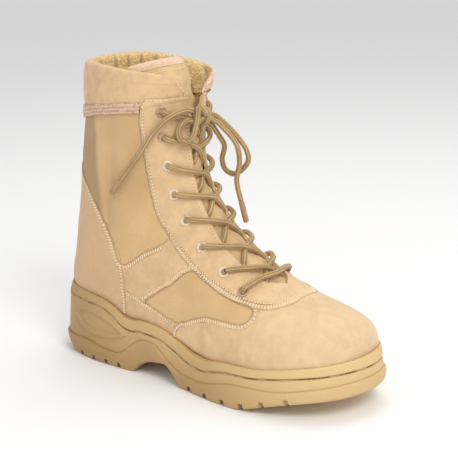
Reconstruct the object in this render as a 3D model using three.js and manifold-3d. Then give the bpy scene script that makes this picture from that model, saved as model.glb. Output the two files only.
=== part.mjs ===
// Desert combat boot for the right foot, standing empty on its sole, in millimetres.
// +X runs to the toe, +Y to the wearer's left (the inner, medial side), +Z up.
// The origin is on the ground, under the middle of the boot's box.
//
// The upper, collar, tongue, insole and the cavity of the midsole all come from one shoe last:
// a row of sections that stand across the foot at the toe, lean back round the ankle and lie
// flat at the top of the shaft. The midsole and outsole follow one outline seen from above.
import * as THREE from "three";
import { mergeVertices } from "three/addons/utils/BufferGeometryUtils.js";
import Module from "manifold-3d";

const wasm = await Module();
wasm.setup();

// ---------------------------------------------------------------- driving dimensions

const GAP = 0.3; // air between two pieces that touch
const WALL = 2.5; // suede or nylon with its lining
const ORIGIN = new THREE.Vector2(-2.15, -1.75); // middle of the boot's box, in the last's own frame
const ROUND = 26; // points round one section of the last
// Stations that get a section: closer together round the toe and the heel.
const SECTIONS = [
  0.3, 0.75, 1.3, 2, 3, 4, 5, 6, 7, 8, 9, 10, 10.45, 10.8, 11.1, 11.5, 12, 13, 14, 15, 16, 17,
];

const EYELETS_PER_SIDE = 8;
const EYELET_BORE = 2.5; // radius that the lace runs through
const EYELET_BARREL = 3.0;
const EYELET_FLANGE = 4.4;
const LACE = 4.4; // diameter of the round lace

const FLATNESS = 0.06; // facets that lie this flat are joined
const INSOLE_THICKNESS = 5;
const LUG_DEPTH = 4.5;

// Stations of the last. front: the ridge over the toe, instep and shin. back: the sole seat, the
// heel and the back of the shaft. mid: where the centreline lies. outer and inner: half widths on
// the lateral and medial sides. wide: the height of the widest point, as a share of the section.
// over and under: how square the section is above and below that point (2 is an ellipse).
const STATIONS = [
  { front: [141.5, 45], back: [141.5, 45], mid: 7, outer: 0, inner: 0, wide: 0.42, over: 2.3, under: 2.6 },
  { front: [138.5, 57.5], back: [139, 31], mid: 7, outer: 19, inner: 18, wide: 0.42, over: 2.3, under: 2.8 },
  { front: [129.5, 66.5], back: [132, 27.5], mid: 6.5, outer: 33.5, inner: 30.5, wide: 0.4, over: 2.3, under: 3.2 },
  { front: [113, 73], back: [119, 25.5], mid: 5, outer: 43.5, inner: 39, wide: 0.36, over: 2.3, under: 3.8 },
  { front: [93, 79.5], back: [102, 24], mid: 2.5, outer: 48.5, inner: 44, wide: 0.32, over: 2.2, under: 4.4 },
  { front: [72, 88], back: [80, 22.5], mid: 0, outer: 50, inner: 47, wide: 0.28, over: 2.1, under: 4.8 },
  { front: [50, 100.5], back: [54, 22], mid: -1, outer: 49, inner: 46.5, wide: 0.25, over: 2, under: 4.8 },
  { front: [30, 115.5], back: [24, 23.5], mid: -1.5, outer: 44.5, inner: 43, wide: 0.24, over: 2, under: 4.6 },
  { front: [13, 132], back: [-10, 29], mid: -1, outer: 40.5, inner: 38.5, wide: 0.25, over: 2, under: 4.4 },
  { front: [2, 148], back: [-50, 35], mid: 0, outer: 38.5, inner: 37, wide: 0.28, over: 2, under: 4 },
  { front: [-5, 161], back: [-98, 36], mid: 0, outer: 37.5, inner: 37, wide: 0.33, over: 2, under: 3.6 },
  { front: [-10, 173], back: [-138.5, 52], mid: 0, outer: 37.5, inner: 37, wide: 0.4, over: 2.05, under: 3 },
  { front: [-13.5, 186], back: [-137, 94], mid: 0, outer: 38.5, inner: 38.5, wide: 0.46, over: 2.1, under: 2.5 },
  { front: [-15.5, 200], back: [-130.5, 134], mid: 0, outer: 40.5, inner: 40, wide: 0.49, over: 2.2, under: 2.3 },
  { front: [-16, 216], back: [-125.5, 172], mid: 0, outer: 42.5, inner: 42, wide: 0.5, over: 2.2, under: 2.2 },
  { front: [-15, 234], back: [-119, 212], mid: 0, outer: 43, inner: 43, wide: 0.5, over: 2.2, under: 2.2 },
  { front: [-13, 256], back: [-115, 256], mid: 0, outer: 44, inner: 44, wide: 0.5, over: 2.2, under: 2.2 },
  { front: [-11, 280], back: [-111, 300], mid: 0, outer: 45, inner: 45, wide: 0.5, over: 2.2, under: 2.2 },
];

// Outline of the cup's wall seen from above, from the back of the heel along the lateral side to
// the toe and back along the medial side.
const SOLE_OUTLINE = [
  [-146, 0], [-142, -17], [-130, -30], [-110, -37.5], [-80, -40.5], [-50, -41], [-20, -43], [10, -48],
  [38, -53.5], [66, -55], [90, -52], [112, -45], [130, -33], [142, -15], [146.5, 8],
  [143, 24], [132, 36], [112, 44.5], [88, 50], [62, 51.5], [36, 49], [8, 42.5], [-20, 38],
  [-50, 37.5], [-80, 39], [-110, 37], [-130, 29.5], [-142, 17],
];

// Heights along the boot, as [x, z]: the cup's rim, the sewn groove below it, the moulded wave
// where the midsole sits on the outsole, and the tread's own underside.
const RIM = [
  [-150, 66], [-134, 62], [-111, 59.5], [-91, 57], [-78, 52.5], [-65, 45], [-57, 44], [-49, 45.5], [-28, 44.5],
  [-6, 37.5], [12, 31], [24, 30], [36, 32], [50, 34], [70, 34.5], [90, 37], [115, 41], [150, 45],
];
const GROOVE_DROP = [[-150, 9], [-120, 8.5], [-90, 7.5], [-57, 9], [-20, 9.5], [24, 8.5], [60, 6.8], [100, 7.4], [150, 8.5]];
const WAVE = [
  [-150, 17], [-111, 17.5], [-91, 14], [-75, 13], [-65, 17], [-54, 26], [-43, 31], [-33, 30.5], [-17, 20.5],
  [-5, 14], [5, 12], [18, 11.5], [36, 15], [60, 20], [90, 20.5], [120, 25], [150, 29],
];
const TREAD = [
  [-151, 1.5], [-140, 0], [-57, 0], [-54.5, 1.5], [-50, 6], [-46, 9], [-38, 12.5], [-30, 14], [-18, 15], [-13, 12],
  [-7, 6], [-1.5, 0.4], [1, 0], [56, 0], [66, 1.5], [80, 5.5], [97, 10], [117, 14], [137, 16.5], [150, 17.5],
];

// The collar meets the shaft along one seam and ends at a rolled rim, which dips to the front.
const COLLAR_SEAM = [[-140, 214], [-80, 220], [-43, 224], [-17, 229], [20, 232]];
const COLLAR_RIM = [[-140, 257], [-95, 257.5], [-75, 256], [-50, 253], [-30, 250], [-18, 247], [-12, 244], [20, 240]];

// Half width of the throat between the facings, as [station, lateral, medial].
const THROAT = [
  [5.15, 3, 3], [5.25, 9, 8.5], [5.45, 14, 12.5], [5.8, 17, 15], [6.6, 18, 17.5], [7.4, 17, 16.5], [8.4, 13.5, 14],
  [9.4, 11.5, 12], [11.3, 8, 10], [12.9, 7, 8], [14.2, 8.5, 9.5], [14.9, 10.5, 13], [15.4, 12.5, 24], [15.8, 15, 32],
  [16.1, 20, 34], [17, 26, 36],
];

// ---------------------------------------------------------------- materials

const SUEDE = new THREE.MeshStandardMaterial({ color: 0xdfbc8b, roughness: 0.95, metalness: 0 });
const PADDED_SUEDE = new THREE.MeshStandardMaterial({ color: 0xddb888, roughness: 0.95, metalness: 0 });
const MESH_LINING = new THREE.MeshStandardMaterial({ color: 0xcfae78, roughness: 0.9, metalness: 0 });
const MIDSOLE_RUBBER = new THREE.MeshStandardMaterial({ color: 0xc9a467, roughness: 0.6, metalness: 0 });
const OUTSOLE_RUBBER = new THREE.MeshStandardMaterial({ color: 0xcba566, roughness: 0.65, metalness: 0 });
const LACE_CORD = new THREE.MeshStandardMaterial({ color: 0xbb9a6a, roughness: 0.85, metalness: 0 });
const AGLET_PLASTIC = new THREE.MeshStandardMaterial({ color: 0xa97c5c, roughness: 0.4, metalness: 0 });
const EYELET_METAL = new THREE.MeshStandardMaterial({ color: 0xe8dccb, roughness: 0.35, metalness: 0.3 });

// ---------------------------------------------------------------- small tools

const vector = (x, y, z) => new THREE.Vector3(x, y, z);

// Smooth curve through rows of numbers, at a row position that may fall between two rows.
function between(rows, position) {
  const last = rows.length - 1;
  const i = Math.min(Math.max(Math.floor(position), 0), last - 1);
  const f = position - i;
  return rows[i].map((p1, k) => {
    const p2 = rows[i + 1][k];
    const p0 = i > 0 ? rows[i - 1][k] : 2 * p1 - p2;
    const p3 = i < last - 1 ? rows[i + 2][k] : 2 * p2 - p1;
    const bend = 2 * p0 - 5 * p1 + 4 * p2 - p3;
    const twist = -p0 + 3 * p1 - 3 * p2 + p3;
    return 0.5 * (2 * p1 + (p2 - p0) * f + bend * f * f + twist * f * f * f);
  });
}

// Columns 1 and up of a table, eased between its rows by the value in column 0. A flat run stays
// flat, and a rise never overshoots its rows.
function lookUp(table, value) {
  const last = table.length - 1;
  if (value <= table[0][0]) return table[0].slice(1);
  if (value >= table[last][0]) return table[last].slice(1);
  const i = table.findIndex((row) => row[0] > value) - 1;
  const rise = (k, c) => (table[k + 1][c] - table[k][c]) / (table[k + 1][0] - table[k][0]);
  const slope = (k, c) => {
    const before = rise(Math.max(k - 1, 0), c);
    const after = rise(Math.min(k, last - 1), c);
    return before * after > 0 ? (2 * before * after) / (before + after) : 0;
  };
  const width = table[i + 1][0] - table[i][0];
  const f = (value - table[i][0]) / width;
  return table[i].slice(1).map((y0, k) => {
    const y1 = table[i + 1][k + 1];
    const m0 = slope(i, k + 1) * width;
    const m1 = slope(i + 1, k + 1) * width;
    return (
      (2 * f ** 3 - 3 * f ** 2 + 1) * y0 + (f ** 3 - 2 * f ** 2 + f) * m0 +
      (3 * f ** 2 - 2 * f ** 3) * y1 + (f ** 3 - f ** 2) * m1
    );
  });
}
const heightAt = (table, x) => lookUp(table, x)[0];

const STATION_ROWS = STATIONS.map((s) => [
  ...s.front, ...s.back, s.mid, s.outer, s.inner, s.wide, s.over, s.under,
]);

// A point of the last at station t and angle a round the section: 0 is the front ridge, a quarter
// turn the lateral side, half a turn the sole or the back, three quarters the medial side.
function lastPoint(t, a) {
  const [fx, fz, bx, bz, mid, outer, inner, wide, over, under] = between(STATION_ROWS, t);
  const c = Math.cos(a);
  const s = Math.sin(a);
  const power = 2 / (c >= 0 ? over : under);
  const reach = Math.abs(c) ** power;
  const h = c >= 0 ? wide + (1 - wide) * reach : wide - wide * reach;
  const half = s > 0 ? outer : inner;
  return vector(bx + (fx - bx) * h, mid - Math.sign(s) * half * Math.abs(s) ** power, bz + (fz - bz) * h);
}

function lastNormal(t, a) {
  if (t < 0.05) return vector(1, 0, 0);
  const e = 0.02;
  const along = lastPoint(t + e, a).sub(lastPoint(t - e, a));
  const around = lastPoint(t, a + e).sub(lastPoint(t, a - e));
  return along.cross(around).normalize();
}

const offsetPoint = (t, a, out) => lastPoint(t, a).addScaledVector(lastNormal(t, a), out);

function meshGeometry(points, faces) {
  const geometry = new THREE.BufferGeometry();
  const flat = points.flatMap((p) => [p.x, p.y, p.z]);
  geometry.setAttribute("position", new THREE.Float32BufferAttribute(flat, 3));
  geometry.setIndex(faces.flat());
  return geometry;
}

// Skin over rings of points. A closed end is a fan from a point; a cap of null joins the last ring
// back to the first one, which makes a ring-shaped solid.
function skin(rings, startPoint, endPoint) {
  const n = rings[0].length;
  const points = rings.flat();
  const faces = [];
  const rows = endPoint === null ? rings.length : rings.length - 1;
  for (let r = 0; r < rows; r++) {
    for (let i = 0; i < n; i++) {
      const j = (i + 1) % n;
      const next = ((r + 1) % rings.length) * n;
      faces.push([r * n + i, next + j, r * n + j], [r * n + i, next + i, next + j]);
    }
  }
  if (endPoint !== null) {
    const top = (rings.length - 1) * n;
    points.push(startPoint, endPoint);
    for (let i = 0; i < n; i++) {
      const j = (i + 1) % n;
      faces.push([points.length - 2, i, j], [points.length - 1, top + j, top + i]);
    }
  }
  return meshGeometry(points, faces);
}

// Skin over rings that run round the sole: its caps join each lateral point to the medial one.
function soleSkin(rings) {
  const n = rings[0].length;
  const points = rings.flat();
  const faces = [];
  for (let r = 0; r + 1 < rings.length; r++) {
    for (let i = 0; i < n; i++) {
      const j = (i + 1) % n;
      faces.push([r * n + i, r * n + j, (r + 1) * n + j], [r * n + i, (r + 1) * n + j, (r + 1) * n + i]);
    }
  }
  const top = (rings.length - 1) * n;
  for (let i = 0; i < n / 2; i++) {
    const [a, b, c, d] = [i, i + 1, n - i - 1, (n - i) % n];
    if (i > 0) faces.push([a, d, c], [top + a, top + c, top + d]);
    if (i < n / 2 - 1) faces.push([a, c, b], [top + a, top + b, top + c]);
  }
  return meshGeometry(points, faces);
}

function solid(geometry) {
  const bare = geometry.clone();
  for (const name of Object.keys(bare.attributes)) {
    if (name !== "position") bare.deleteAttribute(name);
  }
  const merged = mergeVertices(bare, 1e-4);
  const made = new wasm.Manifold(
    new wasm.Mesh({
      numProp: 3,
      vertProperties: new Float32Array(merged.attributes.position.array),
      triVerts: new Uint32Array(merged.index.array),
    }),
  );
  if (made.volume() > 0) return made;
  const turned = merged.index.array.slice();
  for (let i = 0; i < turned.length; i += 3) [turned[i + 1], turned[i + 2]] = [turned[i + 2], turned[i + 1]];
  return new wasm.Manifold(
    new wasm.Mesh({
      numProp: 3,
      vertProperties: new Float32Array(merged.attributes.position.array),
      triVerts: new Uint32Array(turned),
    }),
  );
}

function geometryOf(manifold) {
  const mesh = manifold.getMesh();
  const geometry = new THREE.BufferGeometry();
  geometry.setAttribute("position", new THREE.BufferAttribute(mesh.vertProperties, 3));
  geometry.setIndex(new THREE.BufferAttribute(mesh.triVerts, 1));
  geometry.computeVertexNormals();
  return geometry;
}

// A wall across the boot whose side view is the outline given as [x, z] points.
function acrossTheBoot(outline) {
  const half = 90;
  const shape = new THREE.Shape(outline.map(([x, z]) => new THREE.Vector2(x, z)));
  const geometry = new THREE.ExtrudeGeometry(shape, { depth: 2 * half, bevelEnabled: false });
  geometry.rotateX(Math.PI / 2);
  geometry.translate(0, half, 0);
  return solid(geometry);
}

// Everything between two heights that are functions of x.
function layer(low, high, step = 6) {
  const ends = [-170, 170];
  const xs = [];
  for (let x = ends[0]; x <= ends[1]; x += step) xs.push(x);
  return acrossTheBoot([...xs.map((x) => [x, low(x)]), ...xs.reverse().map((x) => [x, high(x)])]);
}

function tube(points, diameter, sides, steps) {
  const curve = new THREE.CatmullRomCurve3(points, false, "centripetal");
  const section = new THREE.Shape();
  for (let i = 0; i < sides; i++) {
    const a = (2 * Math.PI * i) / sides;
    const [x, y] = [(diameter / 2) * Math.cos(a), (diameter / 2) * Math.sin(a)];
    if (i === 0) section.moveTo(x, y);
    else section.lineTo(x, y);
  }
  return new THREE.ExtrudeGeometry(section, { steps, bevelEnabled: false, extrudePath: curve });
}

// ---------------------------------------------------------------- upper

const TOP_STATION = STATIONS.length - 1;
const angles = Array.from({ length: ROUND }, (_, i) => (2 * Math.PI * i) / ROUND);

function lastSolid(pointAt, toStation) {
  const rings = [];
  for (const t of SECTIONS.filter((station) => station <= toStation)) {
    rings.push(angles.map((a) => pointAt(t, a)));
  }
  const middle = rings.at(-1).reduce((sum, p) => sum.add(p), vector(0, 0, 0)).divideScalar(ROUND);
  return solid(skin(rings, pointAt(0, 0), middle));
}

// The inside follows the last one wall further in, and under the foot it drops out through the
// bottom, so that the upper is open where the midsole closes it.
function insidePoint(t, a, inset) {
  const n = lastNormal(t, a);
  const p = lastPoint(t, a);
  const open = t < 11.2 ? THREE.MathUtils.smoothstep(-n.z, 0.5, 0.8) : 0;
  p.addScaledVector(n, -inset * (1 - open));
  p.z -= 8 * open;
  return p;
}

const throatStations = THROAT.map((row) => row[0]);

// The gap between the facings, from the vamp to the top, as a band that stands through the wall.
function throatCutter() {
  const outward = 30;
  const inward = 16;
  const rings = [];
  for (const t of throatStations) {
    const [fx, fz, bx, bz] = between(STATION_ROWS, t);
    const ridge = vector(fx, 0, fz);
    const out = vector(fx - bx, 0, fz - bz).normalize();
    const [lateral, medial] = lookUp(THROAT, t);
    rings.push([
      ridge.clone().addScaledVector(out, outward).setY(-lateral),
      ridge.clone().addScaledVector(out, outward).setY(medial),
      ridge.clone().addScaledVector(out, -inward).setY(medial),
      ridge.clone().addScaledVector(out, -inward).setY(-lateral),
    ]);
  }
  const centre = (ring) => ring.reduce((sum, p) => sum.add(p), vector(0, 0, 0)).divideScalar(ring.length);
  return solid(skin(rings, centre(rings[0]), centre(rings.at(-1))));
}

// Eyelets run up each facing at an even pitch, a fixed turn round the last from its ridge.
const EYELET_STATIONS = [5.96, 6.88, 8.03, 9.24, 10.56, 11.98, 13.35, 14.45];
const EYELET_TURN = [0.68, 0.67, 0.69, 0.67, 0.63, 0.65, 0.68, 0.7];

function angleAtWidth(t, width, side) {
  let [low, high] = [0, Math.PI / 2];
  for (let k = 0; k < 30; k++) {
    const mid = (low + high) / 2;
    const y = Math.abs(lastPoint(t, side * mid).y);
    if (y < width) low = mid;
    else high = mid;
  }
  return low;
}

// side is 1 on the lateral side and -1 on the medial side.
function eyeletPlace(index, side) {
  const t = EYELET_STATIONS[index];
  const a = side * EYELET_TURN[index];
  return { point: lastPoint(t, a), normal: lastNormal(t, a) };
}

const eyeletPlaces = [1, -1].flatMap((side) =>
  Array.from({ length: EYELETS_PER_SIDE }, (_, index) => ({
    side,
    index,
    ...eyeletPlace(index, side),
  })),
);

const collarSeam = (x) => heightAt(COLLAR_SEAM, x);
const collarRim = (x) => heightAt(COLLAR_RIM, x);

function makeUpper() {
  const outside = lastSolid((t, a) => lastPoint(t, a), TOP_STATION - 1);
  const inside = lastSolid((t, a) => insidePoint(t, a, WALL), TOP_STATION);
  const belowCollar = layer(() => 0, (x) => collarSeam(x) - GAP / 2, 12);
  let wall = outside.subtract(inside).intersect(belowCollar).subtract(throatCutter());
  for (const { point, normal } of eyeletPlaces) {
    const drill = new THREE.CylinderGeometry(EYELET_BARREL + 2 * GAP, EYELET_BARREL + 2 * GAP, 12, 8);
    drill.applyQuaternion(new THREE.Quaternion().setFromUnitVectors(vector(0, 1, 0), normal));
    drill.translate(point.x, point.y, point.z);
    wall = wall.subtract(solid(drill));
  }
  return wall;
}

// ---------------------------------------------------------------- padded collar

// Station at which the last, at angle a, is a share k of the way from the collar's seam to its rim.
function collarStation(a, k) {
  let [low, high] = [13, TOP_STATION];
  for (let i = 0; i < 40; i++) {
    const t = (low + high) / 2;
    const p = lastPoint(t, a);
    const low0 = collarSeam(p.x) + 2 * GAP;
    const wanted = low0 + k * (collarRim(p.x) - low0);
    if (p.z < wanted) low = t;
    else high = t;
  }
  return low;
}

// The medial flap of the collar folds outwards at the front.
function collarFlare(a, k) {
  const medial = 2 * Math.PI - a;
  const near = a > Math.PI ? Math.exp(-(((medial - 0.75) / 0.5) ** 2)) : 0;
  return vector(2, 12, -3).multiplyScalar(near * k ** 0.6);
}

const COLLAR_PROFILE = [
  [0, 0.4], [0.2, 1.3], [0.5, 1.6], [0.8, 1.2], [0.95, -0.4], [1, -3],
  [0.95, -6.2], [0.75, -7.6], [0.4, -7.6], [0.12, -6], [0, -2.6],
]; // share of the height from seam to rim, and how far out of the last

function makeCollar() {
  const rings = angles.map((a) =>
    COLLAR_PROFILE.map(([k, out]) => {
      const t = collarStation(a, k);
      return offsetPoint(t, a, out).add(collarFlare(a, k));
    }),
  );
  return solid(skin(rings, null, null)).subtract(throatCutter());
}

// ---------------------------------------------------------------- tongue

const TONGUE_THICKNESS = 5;
const TONGUE_REACH = [[4.7, 0.62], [7, 0.72], [10, 0.78], [12.5, 0.85], [14.5, 1.15], [15.6, 1.4], [16.6, 1.5]]; // turn
const TONGUE_REACH_MEDIAL = [[4.7, 0.62], [7, 0.72], [10, 0.78], [12.5, 0.85], [14.5, 0.85], [16.6, 0.8]]; // its free edge
const TONGUE_SETBACK = [[13.2, 0], [14.3, 5.6], [15.2, 10], [15.9, 17], [16.6, 24]]; // how far it leans back inside the collar
const TONGUE_TOP = [[-72, 250], [-58, 253.5], [-45, 257.5], [-34, 260], [-20, 261]];
const TONGUE_ACROSS = 8;

function makeTongue() {
  const depth = WALL + 1.7;
  const rings = [];
  for (let t = 4.7; t < 16.7; t += 0.79) {
    const reach = (v) => heightAt(v < 0 ? TONGUE_REACH_MEDIAL : TONGUE_REACH, t);
    const setback = t > TONGUE_SETBACK[0][0] ? heightAt(TONGUE_SETBACK, t) : 0;
    const shares = Array.from({ length: TONGUE_ACROSS + 1 }, (_, i) => (2 * i) / TONGUE_ACROSS - 1);
    const inward = (v) => depth + Math.min(setback, 5.6) + Math.max(setback - 5.6, 0) * (v < 0 ? 1 : 1 - v * v);
    const thick = (v) => TONGUE_THICKNESS * (1 - 0.55 * Math.abs(v) ** 6);
    rings.push([
      ...shares.map((v) => offsetPoint(t, v * reach(v), -inward(v))),
      ...shares.reverse().map((v) => offsetPoint(t, v * reach(v), -inward(v) - thick(v))),
    ]);
  }
  const centre = (ring) => ring.reduce((sum, p) => sum.add(p), vector(0, 0, 0)).divideScalar(ring.length);
  const strip = solid(skin(rings, centre(rings[0]), centre(rings.at(-1))));
  return strip.intersect(layer(() => 0, (x) => heightAt(TONGUE_TOP, x), 8));
}

// ---------------------------------------------------------------- sole

const SOLE_POINTS = 56;
const soleCurve = new THREE.CatmullRomCurve3(
  SOLE_OUTLINE.map(([x, y]) => vector(x, y, 0)), true, "centripetal",
);
const solePlan = soleCurve.getSpacedPoints(SOLE_POINTS).slice(0, SOLE_POINTS);

// out: how far outside the outline; flare: how much further out at the back of the heel.
function soleRing(height, out, flare) {
  return solePlan.map((p, i) => {
    const next = solePlan[(i + 1) % SOLE_POINTS];
    const before = solePlan[(i + SOLE_POINTS - 1) % SOLE_POINTS];
    const along = next.clone().sub(before).normalize();
    const spread = out + flare * THREE.MathUtils.smoothstep(-p.x, 100, 144);
    return vector(p.x + along.y * spread, p.y - along.x * spread, height(p.x));
  });
}

const rim = (x) => heightAt(RIM, x);
const groove = (x) => rim(x) - heightAt(GROOVE_DROP, x);
const wave = (x) => heightAt(WAVE, x);
const tread = (x) => heightAt(TREAD, x);

function makeMidsole() {
  const rings = [
    soleRing((x) => wave(x) - 3, 0, 4.5),
    soleRing((x) => wave(x) + 1.5, 0.6, 4.5),
    soleRing((x) => (wave(x) + groove(x)) / 2, 0.5, 3.6),
    soleRing((x) => groove(x) - 1.2, 0.2, 2.4),
    soleRing(groove, -0.8, 2.2),
    soleRing((x) => groove(x) + 1.2, 0, 1.8),
    soleRing((x) => rim(x) - 1.5, -0.8, 0.4),
    soleRing(rim, -2.2, 0),
  ];
  const seat = lastSolid((t, a) => offsetPoint(t, a, GAP), TOP_STATION - 1);
  const outsoleRoom = layer(() => -20, (x) => wave(x) + GAP / 2);
  return solid(soleSkin(rings)).subtract(seat).subtract(outsoleRoom);
}

// A channel in the tread, as a bar that runs from one [x, y] to another, cut up to the lug depth.
function channel(from, to, width) {
  const steps = 4;
  const slope = Math.atan2(tread(to[0] + 6) - tread(to[0] - 6), 12);
  const length = Math.hypot(to[0] - from[0], to[1] - from[1]);
  const bar = new THREE.BoxGeometry(length, width, 2 * LUG_DEPTH + steps);
  bar.rotateZ(Math.atan2(to[1] - from[1], to[0] - from[0]));
  bar.rotateY(-slope);
  const x = (from[0] + to[0]) / 2;
  bar.translate(x, (from[1] + to[1]) / 2, tread(x) - steps / 2);
  return solid(bar);
}

const HEEL_CHANNELS = [-131, -115, -99, -84, -69];
const FOREFOOT_CHANNELS = [14, 33, 52, 70, 88, 107];

function makeOutsole() {
  const rings = [
    soleRing(tread, 1.2, 0),
    soleRing((x) => tread(x) + 1.5, 2.4, 0.5),
    soleRing((x) => (tread(x) + wave(x)) / 2, 3.2, 3),
    soleRing((x) => wave(x) - 2, 3.2, 4.4),
    soleRing((x) => wave(x) - 0.4, 2, 4.6),
    soleRing((x) => wave(x) + 3, 0.6, 4.6),
  ];
  let body = solid(soleSkin(rings)).intersect(layer(() => -20, (x) => wave(x) - GAP / 2));
  const edge = 70;
  for (const x of HEEL_CHANNELS) {
    body = body.subtract(channel([x, 12], [x - 3, edge], 3)).subtract(channel([x, -12], [x - 3, -edge], 3));
  }
  for (const x of FOREFOOT_CHANNELS) {
    body = body.subtract(channel([x, 14], [x - 6, edge], 3.6)).subtract(channel([x, -14], [x - 6, -edge], 3.6));
  }
  body = body.subtract(channel([-138, -13], [-60, -13], 3)).subtract(channel([-138, 13], [-60, 13], 3));
  body = body.subtract(channel([4, -15], [100, -15], 3.6)).subtract(channel([4, 15], [100, 15], 3.6));
  return body;
}

// ---------------------------------------------------------------- insole

const SEAT = STATIONS.slice(1).filter((s) => s.back[0] > -100).map((s) => s.back).reverse();

function makeInsole() {
  const inside = lastSolid((t, a) => insidePoint(t, a, WALL + 0.6), TOP_STATION - 1);
  const last = lastSolid(lastPoint, TOP_STATION - 1);
  const top = (x) => heightAt([[-142, 53], ...SEAT, [170, 32]], x) + INSOLE_THICKNESS;
  return last.intersect(inside).intersect(layer(() => 0, top));
}

// ---------------------------------------------------------------- assembly

const boot = new THREE.Group();
boot.name = "combat_boot_right";
boot.position.set(-ORIGIN.x, -ORIGIN.y, 0);

function add(name, shape, material) {
  const geometry = shape instanceof THREE.BufferGeometry ? shape : geometryOf(shape.simplify(FLATNESS));
  const mesh = new THREE.Mesh(geometry, material);
  mesh.name = name;
  boot.add(mesh);
  return mesh;
}

add("outsole", makeOutsole(), OUTSOLE_RUBBER);
add("midsole", makeMidsole(), MIDSOLE_RUBBER);
add("insole", makeInsole(), MESH_LINING);
add("upper", makeUpper(), SUEDE);
add("collar", makeCollar(), PADDED_SUEDE);
add("tongue", makeTongue(), MESH_LINING);

// Each eyelet is a rolled ring: a barrel through the facing and a flange on its outside.
const eyeletProfile = [
  [EYELET_BORE, -WALL - 0.3], [EYELET_BARREL, -WALL - 0.3], [EYELET_BARREL, 2 * GAP], [EYELET_FLANGE, 2 * GAP],
  [EYELET_FLANGE - 0.6, 1.4], [EYELET_BORE, 1.4], [EYELET_BORE, -WALL - 0.3],
].map(([r, z]) => new THREE.Vector2(r, z));

for (const { side, index, point, normal } of eyeletPlaces) {
  const ring = new THREE.LatheGeometry(eyeletProfile, 8);
  const eyelet = add(`eyelet_${side > 0 ? "lateral" : "medial"}_${index + 1}`, ring, EYELET_METAL);
  eyelet.position.copy(point);
  eyelet.quaternion.setFromUnitVectors(vector(0, 1, 0), normal);
}

// ---------------------------------------------------------------- laces

const OVER_FACING = 5.1; // height of the lace's middle over a facing, clear of the eyelet's flange
const OVER_EDGE = 3.3;
const OVER_TONGUE = -0.8; // height of its middle where it lies on the tongue
const STRAND_STEP = 3; // how much higher the upper strand lies where two cross
const PAST_EDGE = 3.6; // how far short of the opposite facing a strand ends

// Station at which a curve that runs up the boot comes nearest to a point.
function nearestStation(curve, target) {
  let best = 5.2;
  for (let t = 5.2; t < 16; t += 0.05) {
    if (curve(t).distanceTo(target) < curve(best).distanceTo(target)) best = t;
  }
  return best;
}

// Turn round the last of a facing's edge, moved towards the ridge by a few millimetres.
function edgeTurn(t, side, inwards) {
  const width = lookUp(THROAT, t)[side > 0 ? 0 : 1] - inwards;
  return side * angleAtWidth(t, width, side);
}

// A strand leaves one eyelet over its facing, crosses the tongue straight towards the next eyelet
// down on the other side and ends before it dives below that facing.
function strand(index, side, lift) {
  const from = eyeletPlace(index, side).point;
  const to = eyeletPlace(index - 1, -side).point;
  const towards = (share) => from.clone().lerp(to, share);
  const own = nearestStation((t) => lastPoint(t, edgeTurn(t, side, 0)), towards(0.26));
  const middle = nearestStation((t) => lastPoint(t, 0), towards(0.5));
  const far = nearestStation((t) => lastPoint(t, edgeTurn(t, -side, PAST_EDGE)), towards(0.7));
  return tube([
    offsetPoint(EYELET_STATIONS[index], side * EYELET_TURN[index], OVER_FACING),
    offsetPoint(own, edgeTurn(own, side, 0), OVER_EDGE),
    offsetPoint(middle, 0, OVER_TONGUE + lift),
    offsetPoint(far, edgeTurn(far, -side, PAST_EDGE), OVER_TONGUE),
  ], LACE, 8, 5);
}

// The lowest lace crosses over the foot of the throat and enters both first eyelets from outside.
const bar = [[5.96, 1, OVER_FACING], [5.72, 0.55, 4], [5.5, 0, 3.6], [5.72, -0.55, 4], [5.96, -1, OVER_FACING]].map(
  ([t, share, height]) => offsetPoint(t, share * EYELET_TURN[0], height),
);
add("lace_bar", tube(bar, LACE, 8, 8), LACE_CORD);
for (let index = 1; index < EYELETS_PER_SIDE; index++) {
  const upper = solid(strand(index, 1, STRAND_STEP));
  const lower = solid(strand(index, -1, 0));
  add(`lace_crossing_${index}`, upper.add(lower), LACE_CORD);
}

const KNOT = vector(-7, 0.5, 214);
const knot = new THREE.SphereGeometry(1, 8, 6);
knot.scale(4.6, 8.5, 6.5);
knot.translate(KNOT.x, KNOT.y, KNOT.z);
add("lace_knot", knot, LACE_CORD);

// Routes of the bow, each from the knot outwards.
const LATERAL_END = [
  [-7.5, -9.5, 219], [-10, -19, 221.5], [-17, -29, 217.5], [-28, -35, 207], [-41, -42, 186], [-59.5, -44.5, 164],
];
const LATERAL_TIP = [[-59.9, -44.5, 163.5], [-69.5, -44, 152]];
const MEDIAL_END = [
  [-2, 9, 209.5], [2.5, 12.5, 203.5], [11, 18.5, 189.5], [11, 22, 175.5], [6.5, 24, 158.5], [10.5, 24.5, 141],
];
const MEDIAL_TIP = [[10.7, 24.5, 140.4], [15.8, 24, 124.5]];
const LATERAL_LOOP = [
  [-7, -10, 211], [-11.5, -16, 212.5], [-14.8, -21.5, 208.5], [-15.3, -23, 202.5], [-13.5, -22, 197.8], [-10, -19, 196.2],
  [-6.8, -16, 199.5], [-5, -14.3, 206], [-3.9, -12.8, 214], [-3.5, -11.5, 224],
];
const MEDIAL_LOOP = [
  [-7, 9.5, 206], [-5, 16, 196.5], [-4, 22, 187.5], [-8.5, 25, 173.5], [-7, 27.5, 165.5], [-1.4, 29.5, 162.5],
  [9, 30, 168], [14.5, 29.5, 176], [13.5, 28, 184.5], [8, 25, 194], [0, 19.5, 205], [-7, 13, 214],
];
const route = (points) => points.map((p) => vector(...p));
add("lace_end_lateral", tube(route(LATERAL_END), LACE, 8, 9), LACE_CORD);
add("lace_end_medial", tube(route(MEDIAL_END), LACE, 8, 10), LACE_CORD);
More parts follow.
